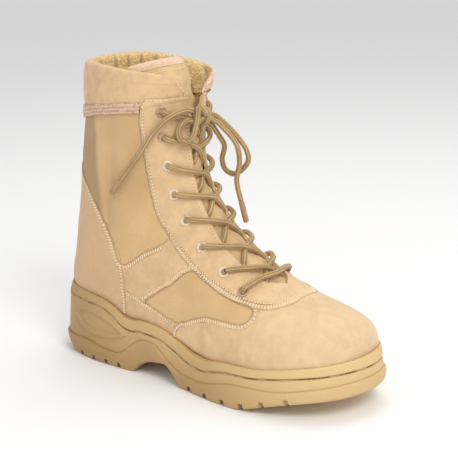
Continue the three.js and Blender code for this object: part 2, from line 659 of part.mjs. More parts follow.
add("lace_loop_lateral", tube(route(LATERAL_LOOP), LACE, 8, 12), LACE_CORD);
add("lace_loop_medial", tube(route(MEDIAL_LOOP), LACE, 8, 18), LACE_CORD);
add("aglet_lateral", tube(route(LATERAL_TIP), LACE + 0.2, 8, 1), AGLET_PLASTIC);
add("aglet_medial", tube(route(MEDIAL_TIP), LACE + 0.2, 8, 1), AGLET_PLASTIC);

export default boot;
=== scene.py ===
import bmesh
import bpy
import numpy as np
from mathutils import Matrix


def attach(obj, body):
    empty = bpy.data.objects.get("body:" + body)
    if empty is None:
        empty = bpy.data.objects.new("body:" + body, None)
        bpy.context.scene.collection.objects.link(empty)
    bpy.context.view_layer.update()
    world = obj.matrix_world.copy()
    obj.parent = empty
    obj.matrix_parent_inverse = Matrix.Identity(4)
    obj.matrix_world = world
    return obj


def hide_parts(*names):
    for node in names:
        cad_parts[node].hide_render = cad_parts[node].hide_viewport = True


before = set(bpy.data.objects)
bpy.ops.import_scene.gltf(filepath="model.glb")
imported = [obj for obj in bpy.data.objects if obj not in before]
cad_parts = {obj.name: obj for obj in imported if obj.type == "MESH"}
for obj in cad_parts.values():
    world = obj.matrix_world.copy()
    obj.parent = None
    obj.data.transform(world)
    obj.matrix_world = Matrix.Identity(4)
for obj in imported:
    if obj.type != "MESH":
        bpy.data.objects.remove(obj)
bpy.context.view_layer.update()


# ---- Studio: a plain pale floor, soft lights and the camera, level with the boot's shaft and
# turned so that it sees the outer side and the toe.

def matte(name, colour, rough):
    """A plain material of one colour."""
    made = bpy.data.materials.new(name)
    made.use_nodes = True
    shader = made.node_tree.nodes["Principled BSDF"]
    shader.inputs["Base Color"].default_value = (*colour, 1)
    shader.inputs["Roughness"].default_value = rough
    return made


def soft_light(name, place, aim, size, power, colour):
    """A square area light at place that faces aim."""
    lamp = bpy.data.lights.new(name, "AREA")
    lamp.size, lamp.energy, lamp.color = size, power, colour
    held = bpy.data.objects.new(name, lamp)
    back = np.array(place, float) - aim
    back /= np.linalg.norm(back)
    right = np.cross((0, 0, 1), back)
    right /= np.linalg.norm(right)
    turn = np.column_stack([right, np.cross(back, right), back])
    held.matrix_world = Matrix.Translation(place) @ Matrix(turn.tolist()).to_4x4()
    bpy.context.collection.objects.link(held)


floor_mesh = bpy.data.meshes.new("studio_floor")
floor_mesh.from_pydata([(-6, -6, 0), (6, -6, 0), (6, 6, 0), (-6, 6, 0)], [], [(0, 1, 2, 3)])
floor_mesh.materials.append(matte("pale floor", (0.93, 0.93, 0.93), 0.8))
studio_floor = bpy.data.objects.new("studio_floor", floor_mesh)
bpy.context.collection.objects.link(studio_floor)

world = bpy.data.worlds.new("soft room")
world.use_nodes = True
world.node_tree.nodes["Background"].inputs["Color"].default_value = (1, 1, 1, 1)
world.node_tree.nodes["Background"].inputs["Strength"].default_value = 0.7
bpy.context.scene.world = world
bpy.context.scene.view_settings.view_transform = "Standard"
soft_light("key", (1.0, -0.55, 1.2), (0, 0, 0.1), 0.6, 10.5, (1, 0.99, 0.97))
soft_light("front fill", (-0.2, -1.4, 0.5), (0, 0, 0.1), 1.2, 1.6, (1, 0.99, 0.98))
soft_light("top", (-0.1, 0.5, 1.4), (0, 0, 0.15), 0.9, 4.5, (1, 0.99, 0.97))

AZIMUTH, ELEVATION, ROLL = np.radians([37.16, 15.73, -1.19])
DISTANCE = 0.94026  # m
AIM = np.array([0.00215, 0.00175, 0.1138])
away = np.array([
    np.sin(AZIMUTH) * np.cos(ELEVATION), -np.cos(AZIMUTH) * np.cos(ELEVATION), np.sin(ELEVATION),
])
level = np.array([np.cos(AZIMUTH), np.sin(AZIMUTH), 0])
upright = np.cross(away, level)
across = level * np.cos(ROLL) + upright * np.sin(ROLL)
upwards = -level * np.sin(ROLL) + upright * np.cos(ROLL)
camera = bpy.data.objects.new("camera", bpy.data.cameras.new("camera"))
camera.data.lens = 91.1
camera.data.shift_x, camera.data.shift_y = 0.0332, 0.0224
camera.matrix_world = (
    Matrix.Translation(AIM + away * DISTANCE)
    @ Matrix(np.column_stack([across, upwards, away]).tolist()).to_4x4()
)
bpy.context.collection.objects.link(camera)
bpy.context.scene.camera = camera


# ---- Bow: the lace's two free ends and two loops, tied over the tongue. It is a round braided
# polyester cord, 4.4 mm thick, with ribs along it; each end is closed by a thin glued sleeve.

class Wire:
    """One socket of a material. Arithmetic on it adds Math nodes."""

    def __init__(self, tree, socket):
        self.tree, self.socket = tree, socket

    def plug(self, target, value):
        if isinstance(value, Wire):
            self.tree.links.new(value.socket, target)
        else:
            target.default_value = value

    def node(self, kind, settings, sockets, out=0):
        """A node of the given type: its settings first, then the values or links of its sockets."""
        made = self.tree.nodes.new(kind)
        for name, value in settings.items():
            if name == "stops":
                for stop, (place, colour) in zip(made.color_ramp.elements, value):
                    stop.position, stop.color = place, (*colour, 1)
            else:
                setattr(made, name, value)
        for name, value in sockets.items():
            self.plug(made.inputs[name], value)
        return Wire(self.tree, made.outputs[out])

    def maths(self, operation, *values):
        return self.node("ShaderNodeMath", {"operation": operation}, dict(enumerate(values)))

    def __add__(self, other):
        return self.maths("ADD", self, other)

    def __sub__(self, other):
        return self.maths("SUBTRACT", self, other)

    def __rsub__(self, other):
        return self.maths("SUBTRACT", other, self)

    def __mul__(self, other):
        return self.maths("MULTIPLY", self, other)

    __radd__, __rmul__ = __add__, __mul__

    def between(self, low, high):
        """0 below low, 1 above high and a smooth rise between them."""
        return self.node("ShaderNodeMapRange", {"interpolation_type": "SMOOTHSTEP"}, {
            0: self, 1: low, 2: high,
        })

    def part(self, axis):
        """One number of a vector: 0 for x, 1 for y, 2 for z."""
        return self.node("ShaderNodeSeparateXYZ", {}, {0: self}, out=axis)

    def carried(self, name):
        """A number that the mesh carries at each point."""
        return self.node("ShaderNodeAttribute", {"attribute_name": name}, {}, out=2)


def finish(name, rough, sheen=0.0):
    """A material, as a wire to its texture coordinates and the shader that it ends in."""
    made = bpy.data.materials.new(name)
    made.use_nodes = True
    shader = made.node_tree.nodes["Principled BSDF"]
    shader.inputs["Roughness"].default_value = rough
    shader.inputs["Sheen Weight"].default_value = sheen
    shader.inputs["Sheen Roughness"].default_value = 0.5
    here = Wire(made.node_tree, None).node("ShaderNodeTexCoord", {}, {}, out=3)
    return made, shader, here


def noise(here, scale, detail=2.0, distortion=0.0):
    """Clouds about 1 / scale metres across, from 0 to 1."""
    return here.node("ShaderNodeTexNoise", {}, {
        "Vector": here, "Scale": scale, "Detail": detail, "Distortion": distortion,
    })


def mixed(factor, first, second):
    """first where factor is 0 and second where it is 1, as colours."""
    ends = [v if isinstance(v, Wire) else (*v, 1) for v in (first, second)]
    return factor.node("ShaderNodeMix", {"data_type": "RGBA"}, {0: factor, 6: ends[0], 7: ends[1]}, out=2)


def bumped(height, depth):
    """A normal tilted by height, which is depth metres deep."""
    return height.node("ShaderNodeBump", {}, {"Strength": 1.0, "Distance": depth, "Height": height})


def paint(shader, colour, normal=None):
    """Gives a shader its colour and, where there is one, its normal."""
    colour.plug(shader.inputs["Base Color"], colour)
    if normal:
        normal.plug(shader.inputs["Normal"], normal)


def grid_faces(rows, columns, close=False):
    """Quads over a grid of points stored row by row; close joins the last column to the first."""
    i = np.arange(rows - 1)[:, None]
    j = np.arange(columns if close else columns - 1)[None]
    right, below = (j + 1) % columns, (i + 1) * columns
    corners = i * columns + j, i * columns + right, below + right, below + j
    return np.stack(np.broadcast_arrays(*corners), -1).reshape(-1, 4)


def end_faces(rows, columns):
    """The two faces that close a grid joined all round, at its first row and its last."""
    return [np.arange(columns)[::-1].tolist(), ((rows - 1) * columns + np.arange(columns)).tolist()]


LAST_PLACE = (2.15, 1.75, 0)  # mm


def in_metres(points):
    """Points in millimetres of the last's own frame, as metres of the boot's frame."""
    return (np.asarray(points, float) + LAST_PLACE) / 1000


def piece(name, points, faces, materials, uv=None, values=None, which=None, shade=True):
    """A mesh object on the root body. points are in millimetres in the last's frame; uv has a pair
    for each point, values a number for each point under a name, and which a material for each face."""
    mesh = bpy.data.meshes.new(name)
    metres = in_metres(np.reshape(points, (-1, 3)))
    mesh.from_pydata(metres.tolist(), [], faces if isinstance(faces, list) else faces.tolist())
    for material in materials:
        mesh.materials.append(material)
    corner = np.empty(len(mesh.loops), int)
    mesh.loops.foreach_get("vertex_index", corner)
    if uv is not None:
        layer = mesh.uv_layers.new(name="cloth").data
        layer.foreach_set("uv", np.asarray(uv, float).reshape(-1, 2)[corner].ravel())
    for key, numbers in (values or {}).items():
        layer = mesh.attributes.new(key, "FLOAT", "POINT").data
        layer.foreach_set("value", np.asarray(numbers, float).ravel())
    if which is not None:
        mesh.polygons.foreach_set("material_index", np.asarray(which, int))
    mesh.polygons.foreach_set("use_smooth", np.full(len(mesh.polygons), shade))
    mesh.update()
    made = bpy.data.objects.new(name, mesh)
    bpy.context.collection.objects.link(made)
    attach(made, "root")
    return made


def tidy(made, outward=True):
    """Merges doubled points, such as a pole's, and, where outward is true, turns every face outwards."""
    work = bmesh.new()
    work.from_mesh(made.data)
    bmesh.ops.remove_doubles(work, verts=work.verts, dist=2e-6)
    if outward:
        bmesh.ops.recalc_face_normals(work, faces=work.faces)
    work.to_mesh(made.data)
    work.free()


def unit(vectors):
    return vectors / np.linalg.norm(vectors, axis=-1, keepdims=True)


def run_along(path):
    """How far each point lies along a path."""
    return np.concatenate([[0], np.cumsum(np.linalg.norm(np.diff(path, axis=0), axis=1))])


def cubic(f, run, start, stop, start_slope, stop_slope):
    """The cubic between two values with the given slopes at its ends, a share f along its run."""
    return (
        (2 * f**3 - 3 * f**2 + 1) * start + (f**3 - 2 * f**2 + f) * run * start_slope
        + (3 * f**2 - 2 * f**3) * stop + (f**3 - f**2) * run * stop_slope
    )


def smooth_path(points, step):
    """A smooth curve through the points, with a sample about every step: between two points it is
    the cubic whose slopes are those of the parabola through each point and its neighbours."""
    points = np.asarray(points, float)
    length = np.linalg.norm(np.diff(points, axis=0), axis=1)
    place = np.concatenate([[0], np.cumsum(length)])
    rate = np.diff(points, axis=0) / length[:, None]
    slope = np.empty_like(points)
    slope[0], slope[-1] = rate[0], rate[-1]
    before, after = length[:-1, None], length[1:, None]
    slope[1:-1] = (rate[:-1] * after + rate[1:] * before) / (before + after)
    at = np.linspace(0, place[-1], max(int(place[-1] / step), 4) + 1)
    i = np.clip(np.searchsorted(place, at, side="right") - 1, 0, len(length) - 1)
    f = ((at - place[i]) / length[i])[:, None]
    return cubic(f, length[i][:, None], points[i], points[i + 1], slope[i], slope[i + 1])


def tube(path, radius, facing, sides=24, ribs=0.0):
    """A tube round a path. facing is a direction that the path never runs along; a ring starts on
    that side. Six ribs run along it, and both ends are rounded off."""
    path = np.asarray(path, float)
    along = unit(np.gradient(path, axis=0))
    side = unit(np.cross(along, facing))
    top = np.cross(side, along)
    far = run_along(path)
    lead = np.clip(np.minimum(far, far[-1] - far) / (0.6 * radius), 0, 1)
    width = radius * np.sqrt(np.clip(1 - (1 - lead) ** 2, 0.0004, 1))
    turn = np.arange(sides) * 2 * np.pi / sides
    wave_round = np.cos(6 * turn)
    ring = np.cos(turn)[None, :, None] * side[:, None] + np.sin(turn)[None, :, None] * top[:, None]
    points = path[:, None] + ring * (width[:, None] * (1 + ribs * wave_round))[..., None]
    rib, length = np.broadcast_arrays(wave_round[None], far[:, None])
    faces = grid_faces(len(path), sides, close=True)
    ends = end_faces(len(path), sides)
    return points.reshape(-1, 3), faces.tolist() + ends, {"rib": rib.ravel(), "length": length.ravel()}


LACE = 4.4  # mm
RIBS = 0.06  # of the radius

braid, braid_shader, braid_here = finish("braided cord", 0.85, 0.12)
braid_rib, braid_length = braid_here.carried("rib"), braid_here.carried("length")
plait = braid_length.maths("SINE", braid_length * 4.8 + braid_rib * 1.5) * 0.5 + 0.5
strands = (braid_rib * 0.5 + 0.5) * 0.72 + plait * 0.28
# The cord is painted darker in the grooves between its ribs and plaits, as painted shade, with random tone
# from the noise.
braid_groove_shade_and_tone = (strands * 0.6 + noise(braid_here, 60, 3) * 0.45).between(0.1, 0.95)
paint(braid_shader, mixed(braid_groove_shade_and_tone, (0.23, 0.138, 0.052), (0.64, 0.44, 0.215)), bumped(strands, 0.00035))

sleeve, sleeve_shader, sleeve_here = finish("aglet sleeve", 0.35)
paint(sleeve_shader, mixed(noise(sleeve_here, 220, 2), (0.36, 0.19, 0.09), (0.52, 0.31, 0.17)))

KNOT = np.array([-7, 0.5, 214])
LATERAL_END = [
    (-7.5, -9.5, 219), (-10, -19, 221.5), (-17, -29, 217.5), (-28, -35, 207), (-41, -42, 186),
    (-59.5, -44.5, 164),
]
LATERAL_TIP = [(-58.5, -44.4, 165.2), (-59.5, -44.5, 164), (-69.5, -44, 152)]
MEDIAL_END = [
    (-2, 9, 209.5), (2.5, 12.5, 203.5), (11, 18.5, 189.5), (11, 22, 175.5), (6.5, 24, 158.5),
    (10.5, 24.5, 141),
]
MEDIAL_TIP = [(10.1, 24.5, 142.4), (10.5, 24.5, 141), (15.8, 24, 124.5)]
LATERAL_LOOP = [
    (-7, -10, 211), (-11.5, -16, 212.5), (-14.8, -21.5, 208.5), (-15.3, -23, 202.5), (-13.5, -22, 197.8),
    (-10, -19, 196.2), (-6.8, -16, 199.5), (-5, -14.3, 206), (-3.9, -12.8, 214), (-3.5, -11.5, 224),
]
MEDIAL_LOOP = [
    (-7, 9.5, 206), (-5, 16, 196.5), (-4, 22, 187.5), (-8.5, 25, 173.5), (-7, 27.5, 165.5),
    (-1.4, 29.5, 162.5), (9, 30, 168), (14.5, 29.5, 176), (13.5, 28, 184.5), (8, 25, 194), (0, 19.5, 205),
    (-7, 13, 214),
]


def lace(name, points, facing, step=1.2):
    """A free length of the cord."""
    path = smooth_path(points, step)
    skin, faces, values = tube(path, LACE / 2, facing, ribs=RIBS)
    made = piece(name, skin, faces, [braid], values=values)
    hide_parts(name.replace("-", "_"))


def aglet(name, points):
    """The sleeve on a lace's end: a thin tube with a rounded tip, a little thicker than the cord."""
    skin, faces, _ = tube(smooth_path(points, 0.8), LACE / 2 + 0.15, (0.5, -0.8, 0.3), sides=18)
    made = piece(name, skin, faces, [sleeve])
    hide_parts(name.replace("-", "_"))
    return made


lateral_aglet = aglet("aglet-lateral", LATERAL_TIP)
medial_aglet = aglet("aglet-medial", MEDIAL_TIP)
lace("lace-end-lateral", LATERAL_END, (0.5, -0.8, 0.3))
lace("lace-end-medial", MEDIAL_END, (0.9, -0.3, 0.2))


def bundle(name, strands_of_it):
    """Several strands of the cord as one piece. A strand has its path and a direction across it."""
    skins, faces, carried = [], [], {"rib": [], "length": []}
    for path, facing in strands_of_it:
        skin, own_faces, values = tube(path, LACE / 2, facing, ribs=RIBS)
        before = sum(len(part) for part in skins)
        faces += [[k + before for k in face] for face in own_faces]
        skins.append(skin)
        for key in carried:
            carried[key] = np.append(carried[key], values[key])
    return piece(name, np.concatenate(skins), faces, [braid], values=carried)


# The knot is the lace's own crossing: one turn wound round the three strands that pass through it.
KNOT_THICK, KNOT_HIGH, KNOT_WIDE = 6.8, 10.8, 5.8  # mm
KNOT_TURNS = 1.7
THROUGH_KNOT = [
    [(-8.1, -10.9, 219.6), (-7.5, -9.2, 219), (-8, -4.5, 217.3), (-8, 3, 210.5), (-6.7, 10.6, 204.2)],
    [(-8.2, -11.8, 210.9), (-7, -9.7, 210.6), (-6.2, -4, 212.6), (-6.5, 5, 215.5), (-5.5, 14.3, 212)],
    [(-3.5, -11.3, 223.8), (-4, -7, 220.5), (-5, 0, 215), (-0.9, 10.2, 207.6)],
]
wound = np.linspace(0, 1, 70)
wrap = KNOT + np.stack([
    KNOT_THICK / 2 * np.cos(2 * np.pi * KNOT_TURNS * wound), KNOT_WIDE * (wound - 0.5),
    KNOT_HIGH / 2 * np.sin(2 * np.pi * KNOT_TURNS * wound),
], -1)
knot = bundle("lace-knot", [
    (wrap, (0.02, 1, 0.01)),
    *[(smooth_path(points, 1.0), (1, 0, 0.1)) for points in THROUGH_KNOT],
])
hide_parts("lace_knot")
lace("lace-loop-lateral", LATERAL_LOOP, (1, 0.2, 0.3))
lace("lace-loop-medial", MEDIAL_LOOP, (0.9, -0.4, 0.2))


# ---- Lacing: the same cord, laced through eight pairs of eyelets, in from outside at the lowest
# pair and up under the facings. Its strands lie over the tongue, and the last pair rises to the knot.

# The last that the boot is built on, at stations from the toe up to the collar. A row has the x and
# z of the section's front, those of its back, its middle's y, its half widths on the outer and the
# inner side, where it is widest, and how square it is over and under its widest point.
LAST = np.array([
    (141.5, 45, 141.5, 45, 7, 0, 0, 0.42, 2.3, 2.6), (138.5, 57.5, 139, 31, 7, 19, 18, 0.42, 2.3, 2.8),
    (129.5, 66.5, 132, 27.5, 6.5, 33.5, 30.5, 0.4, 2.3, 3.2),
    (113, 73, 119, 25.5, 5, 43.5, 39, 0.36, 2.3, 3.8), (93, 79.5, 102, 24, 2.5, 48.5, 44, 0.32, 2.2, 4.4),
    (72, 88, 80, 22.5, 0, 50, 47, 0.28, 2.1, 4.8), (50, 100.5, 54, 22, -1, 49, 46.5, 0.25, 2, 4.8),
    (30, 115.5, 24, 23.5, -1.5, 44.5, 43, 0.24, 2, 4.6), (13, 132, -10, 29, -1, 40.5, 38.5, 0.25, 2, 4.4),
    (2, 148, -50, 35, 0, 38.5, 37, 0.28, 2, 4), (-5, 161, -98, 36, 0, 37.5, 37, 0.33, 2, 3.6),
    (-10, 173, -138.5, 52, 0, 37.5, 37, 0.4, 2.05, 3),
    (-13.5, 186, -137, 94, 0, 38.5, 38.5, 0.46, 2.1, 2.5),
    (-15.5, 200, -130.5, 134, 0, 40.5, 40, 0.49, 2.2, 2.3),
    (-16, 216, -125.5, 172, 0, 42.5, 42, 0.5, 2.2, 2.2), (-15, 234, -119, 212, 0, 43, 43, 0.5, 2.2, 2.2),
    (-13, 256, -115, 256, 0, 44, 44, 0.5, 2.2, 2.2), (-11, 280, -111, 300, 0, 45, 45, 0.5, 2.2, 2.2),
])
LAST_ROWS = np.vstack([2 * LAST[0] - LAST[1], LAST, 2 * LAST[-1] - LAST[-2]])


def last(t, a):
    """Points of the last at stations t and turns a: a is 0 at the front ridge, a quarter turn at the
    outer side, a half at the sole or back. Rows are joined by uniform Catmull-Rom curves."""
    t, a = np.broadcast_arrays(np.asarray(t, float), np.asarray(a, float))
    held = np.clip(t, 0, len(LAST) - 1.0001)
    i = held.astype(int)
    f = (held - i)[..., None]
    p, q, r, s = (LAST_ROWS[i + k] for k in range(4))
    row = 0.5 * (2 * q + (r - p) * f + (2 * p - 5 * q + 4 * r - s) * f**2 + (3 * q - p - 3 * r + s) * f**3)
    fx, fz, bx, bz, mid, outer, inner, wide, over, under = np.moveaxis(row, -1, 0)
    c, s = np.cos(a), np.sin(a)
    power = np.where(c >= 0, over, under)
    reach = np.abs(c) ** (2 / power)
    h = np.where(c >= 0, wide + (1 - wide) * reach, wide - wide * reach)
    half = np.where(s > 0, outer, inner)
    y = mid - np.sign(s) * half * np.abs(s) ** (2 / power)
    return np.stack([bx + (fx - bx) * h, y, bz + (fz - bz) * h], -1)


def last_normal(t, a, gap=0.02):
    """The last's outward normal, from differences of one gap each way."""
    n = np.cross(last(t + gap, a) - last(t - gap, a), last(t, a + gap) - last(t, a - gap))
    return n / np.maximum(np.linalg.norm(n, axis=-1), 1e-9)[..., None]


def off_last(t, a, out):
    """A point of the last, moved out along its normal."""
    t, a = np.broadcast_arrays(np.asarray(t, float), np.asarray(a, float))
    return last(t, a) + last_normal(t, a) * np.asarray(out, float)[..., None]


# Half widths of the gap between the facings, at stations of the last: outer side, inner side.
THROAT = np.array([
    (5.06, 0, 0), (5.09, 1.8, 1.8), (5.15, 3.6, 3.6), (5.25, 8, 7.5), (5.45, 14, 12.5), (5.8, 17, 15),
    (6.6, 18, 17.5), (7.4, 17, 16.5), (8.4, 13.5, 14), (9.4, 11.5, 12), (11.3, 8, 10), (12.9, 7, 8),
    (14.2, 8.5, 9.5), (14.9, 10.5, 13), (15.4, 12.5, 24), (15.8, 15, 32), (16.1, 20, 34), (17, 26, 36),
])
EYELET_STATIONS = np.array([5.96, 6.88, 8.03, 9.24, 10.56, 11.98, 13.35, 14.45])
EYELET_TURN = np.array([0.68, 0.67, 0.69, 0.67, 0.63, 0.65, 0.68, 0.7])


def halved(is_short, low, high, shape):
    """For each number of an array, where is_short stops being true between low and high."""
    low, high = np.full(shape, float(low)), np.full(shape, float(high))
    for _ in range(26):
        middle = (low + high) / 2
        short = is_short(middle)
        low, high = np.where(short, middle, low), np.where(short, high, middle)
    return low


def throat_turn(t, side, inwards=0.0):
    """The turn at which a facing's edge lies: its y is the throat's half width there. side is 1 on
    the outer side and -1 on the inner one."""
    t = np.asarray(t, float)
    width = np.interp(t, THROAT[:, 0], THROAT[:, 1 if side > 0 else 2]) - inwards
    return halved(lambda a: np.abs(last(t, side * a)[..., 1]) < width, 0, np.pi / 2, t.shape)


def nearest_station(turn, target):
    """The station at which a line that runs up the boot comes nearest to target."""
    t = np.arange(5.2, 16, 0.02)
    return t[np.argmin(np.linalg.norm(last(t, turn(t)) - target, axis=1))]


def strand(index, side, lift):
    """The lace from under one facing, up through its eyelet, over the edge and the tongue, and down
    under the other facing towards the next eyelet below."""
    start, goal = (
        last(EYELET_STATIONS[k], way * EYELET_TURN[k]) for k, way in ((index, side), (index - 1, -side))
    )
    up = last_normal(EYELET_STATIONS[index], side * EYELET_TURN[index])

    def on_way(turn, share, lower):
        """The station at which the strand crosses a line, a share of the way to its goal."""
        return nearest_station(turn, start + share * (goal - start)) - lower

    def own_edge(t):
        return side * throat_turn(t, side)

    def far_edge(t):
        return -side * throat_turn(t, -side, 3.2)

    def under_far(t):
        return -side * throat_turn(t, -side, -3.0)

    own, middle = on_way(own_edge, 0.26, 0.2), on_way(lambda t: 0 * t, 0.5, 0.26)
    far, under = on_way(far_edge, 0.74, 0.42), on_way(under_far, 0.88, 0.44)
    over = off_last(own, own_edge(own), 3.0)
    ahead = unit(over - start)
    through = [(-3.6, -0.6), (-0.4, 0.3), (2.3, 2.4), (3.2, 5)]
    return [
        *[start + up * rise + ahead * run for rise, run in through],
        over, off_last(middle, 0, -2.2 + lift), off_last(far, far_edge(far), -2.0),
        off_last(under, under_far(under), -4.2),
    ]


# The bar over the lowest pair: station, share of the eyelet's turn, and out of the last.
BAR_HALF = [(5.98, 1.03, -4.2), (5.97, 1.01, 0), (5.95, 0.97, 3.6), (5.82, 0.8, 4.6), (5.7, 0.55, 4)]
bar = [*BAR_HALF, (5.5, 0, 3.6), *[(t, -share, out) for t, share, out in BAR_HALF[::-1]]]
lacing = [(strand(k, side, lift), (1, 0.1, 0.6)) for side, lift in ((1, 3.0), (-1, 0.0)) for k in range(1, 8)]
lacing.append(([off_last(t, share * EYELET_TURN[0], out) for t, share, out in bar], (1, 0, 1)))
for side, end in [(1, (-7.2, -9.8, 213.5)), (-1, (-5.5, 9, 211.5))]:
    turn = side * EYELET_TURN[7]
    edge = side * throat_turn(14.2, side, 2.6)
    way = [(EYELET_STATIONS[7], turn, -3.6), (14.3, (turn + edge) / 2, -3.4), (14.15, edge, 0.5)]
    lacing.append(([*[off_last(*stop) for stop in way], end], (1, 0.1, 0.3)))
crossings = bundle("lacing", [(smooth_path(points, 1.0), facing) for points, facing in lacing])
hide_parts("lace_bar", *[f"lace_crossing_{k}" for k in range(1, 8)])


# ---- Outsole: one moulded rubber piece, glued under the midsole. Its heel block and forefoot stand
# on the ground, the arch is raised, and channels cut its tread into lugs.

SOLE_OUTLINE = [
    (-146, 0), (-142, -17), (-130, -30), (-110, -37.5), (-80, -40.5), (-50, -41), (-20, -43), (10, -48),
    (38, -53.5), (66, -55), (90, -52), (112, -45), (130, -33), (142, -15), (146.5, 8), (143, 24), (132, 36),
    (112, 44.5), (88, 50), (62, 51.5), (36, 49), (8, 42.5), (-20, 38), (-50, 37.5), (-80, 39), (-110, 37),
    (-130, 29.5), (-142, 17),
]
# Heights along x: the rim of the midsole, how far its groove lies below, the wavy line where the
# outsole ends, and the underside of the tread.
RIM = np.array([
    (-150, 66), (-134, 62), (-111, 59.5), (-91, 57), (-78, 52.5), (-65, 45), (-57, 44), (-49, 45.5),
    (-28, 44.5), (-6, 37.5), (12, 31), (24, 30), (36, 32), (50, 34), (70, 34.5), (90, 37), (115, 41),
    (150, 45),
])
GROOVE_DROP = np.array([
    (-150, 9), (-120, 8.5), (-90, 7.5), (-57, 9), (-20, 9.5), (24, 8.5), (60, 6.8), (100, 7.4), (150, 8.5),
])
WAVE = np.array([
    (-150, 17), (-111, 17.5), (-91, 14), (-75, 13), (-65, 17), (-54, 26), (-43, 31), (-33, 30.5),
    (-17, 20.5), (-5, 14), (5, 12), (18, 11.5), (36, 15), (60, 20), (90, 20.5), (120, 25), (150, 29),
])
TREAD = np.array([
    (-151, 1.5), (-140, 0), (-57, 0), (-54.5, 1.5), (-50, 6), (-46, 9), (-38, 12.5), (-30, 14), (-18, 15),
    (-13, 12), (-7, 6), (-1.5, 0.4), (1, 0), (56, 0), (66, 1.5), (80, 5.5), (97, 10), (117, 14),
    (137, 16.5), (150, 17.5),
])


def height_at(table, x):
    """A smooth, never overshooting curve through a table: its slope at a row is the harmonic mean
    of those of the two chords that meet there, and 0 at a peak or a valley."""
    xs, zs = table.T
    chord = np.diff(zs) / np.diff(xs)
    slope = np.zeros_like(zs)
    rising = chord[:-1] * chord[1:] > 0
    slope[1:-1][rising] = 2 * chord[:-1][rising] * chord[1:][rising] / (chord[:-1] + chord[1:])[rising]
    x = np.clip(x, xs[0], xs[-1])
    i = np.clip(np.searchsorted(xs, x, side="right") - 1, 0, len(xs) - 2)
    run = xs[i + 1] - xs[i]
    return cubic((x - xs[i]) / run, run, zs[i], zs[i + 1], slope[i], slope[i + 1])


def tread(x):
    return height_at(TREAD, x)


def wave(x):
    return height_at(WAVE, x)


def rim(x):
    return height_at(RIM, x)


def groove_height(x):
    return rim(x) - height_at(GROOVE_DROP, x)


def smoothstep(x, low, high):
    f = np.clip((x - low) / (high - low), 0, 1)
    return f * f * (3 - 2 * f)


def sole_line(count):
    """The sole's outline as evenly spaced points, with its outward direction at each."""
    around = np.array(SOLE_OUTLINE[-2:] + SOLE_OUTLINE + SOLE_OUTLINE[:3], float)
    curve = smooth_path(around, 0.5)
    from_heel = np.linalg.norm(curve - SOLE_OUTLINE[0], axis=1)
    overlap = 150
    first = np.argmin(from_heel[:overlap])
    final = len(curve) - overlap + np.argmin(from_heel[-overlap:])
    curve = curve[first:final + 1]
    far = run_along(curve)
    at = np.arange(count) * far[-1] / count
    line = np.stack([np.interp(at, far, curve[:, 0]), np.interp(at, far, curve[:, 1])], -1)
    along = unit(np.roll(line, -4, axis=0) - np.roll(line, 4, axis=0))
    return line, np.stack([along[:, 1], -along[:, 0]], -1)


def sole_ring(line, outward, low, high, share, rise, out, flare):
    """The outline moved out, and further out towards the heel's back. Its height at each x is a share
    of the way from the low line to the high one, and rise above that."""
    flared = out + flare * smoothstep(-line[:, 0], 100, 144)
    flat = line + outward * flared[:, None]
    x = flat[:, 0]
    return np.column_stack([flat, (1 - share) * low(x) + share * high(x) + rise])


def rubber(name, light, dark, rough):
    """Moulded rubber: an even colour, a little darker low down, with painted shade towards the heel, painted
    light towards the toe, fine grain and dull patches.
    """
    made, shader, here = finish(name, rough)
    patches = noise(here, 22, 4)
    low = (1 - here.part(2).between(0.0, 0.05)) * 0.55
    colour = mixed((patches * 0.9 + low).between(0.3, 1.1), light, dark)
    x = here.part(0)
    # Painted shade: the rubber darkens towards the heel, which faces away from the key light.
    colour = mixed((0 - x).between(0.02, 0.14) * 0.75, colour, (0.35, 0.212, 0.08))
    # Painted light: the rubber lightens towards the toe, which faces the key light.
    colour = mixed(x.between(0.0, 0.13) * 0.6, colour, (0.78, 0.56, 0.27))
    specks = noise(here, 700, 2).between(0.62, 0.72) * 0.15
    grain = noise(here, 1400, 3) + patches * 2
    paint(shader, mixed(specks, colour, (0.30, 0.19, 0.085)), bumped(grain, 0.00012))
    return made


outsole_rubber = rubber("outsole rubber", (0.57, 0.375, 0.165), (0.42, 0.265, 0.11), 0.6)
# The wall from the tread up to the wavy line: share of the way, rise, out and flare of each ring.
OUTSOLE_WALL = [
    (0, 0, -5, 0), (0, 0, 0.6, 0), (0, 0.25, 1.3, 0), (0, 1.5, 2.3, 0.5), (0.25, 0, 2.9, 1.6),
    (0.5, 0, 3.2, 3), (0.75, 0, 3.3, 3.9), (1, -1.2, 3.0, 4.4), (1, -0.5, 2.5, 4.5), (1, -0.15, 1.6, 4.6),
    (1, -0.15, -4, 4.6),
]
sole, outward = sole_line(520)
around, half = len(sole), len(sole) // 2
points = np.concatenate([sole_ring(sole, outward, tread, wave, *row) for row in OUTSOLE_WALL])
faces = grid_faces(len(OUTSOLE_WALL), around, close=True)[:, ::-1].tolist()
# Strips straight across between facing points of the lowest ring and of the highest close it off.
strips = [[0, 1, around - 1], [half - 1, half, half + 1]]
strips += [[k, k + 1, around - k - 1, around - k] for k in range(1, half - 1)]
top_start = (len(OUTSOLE_WALL) - 1) * around
faces += [strip[::-1] for strip in strips] + [[top_start + k for k in strip] for strip in strips]
outsole = piece("outsole-tread", points, faces, [outsole_rubber], shade=False)
tidy(outsole)

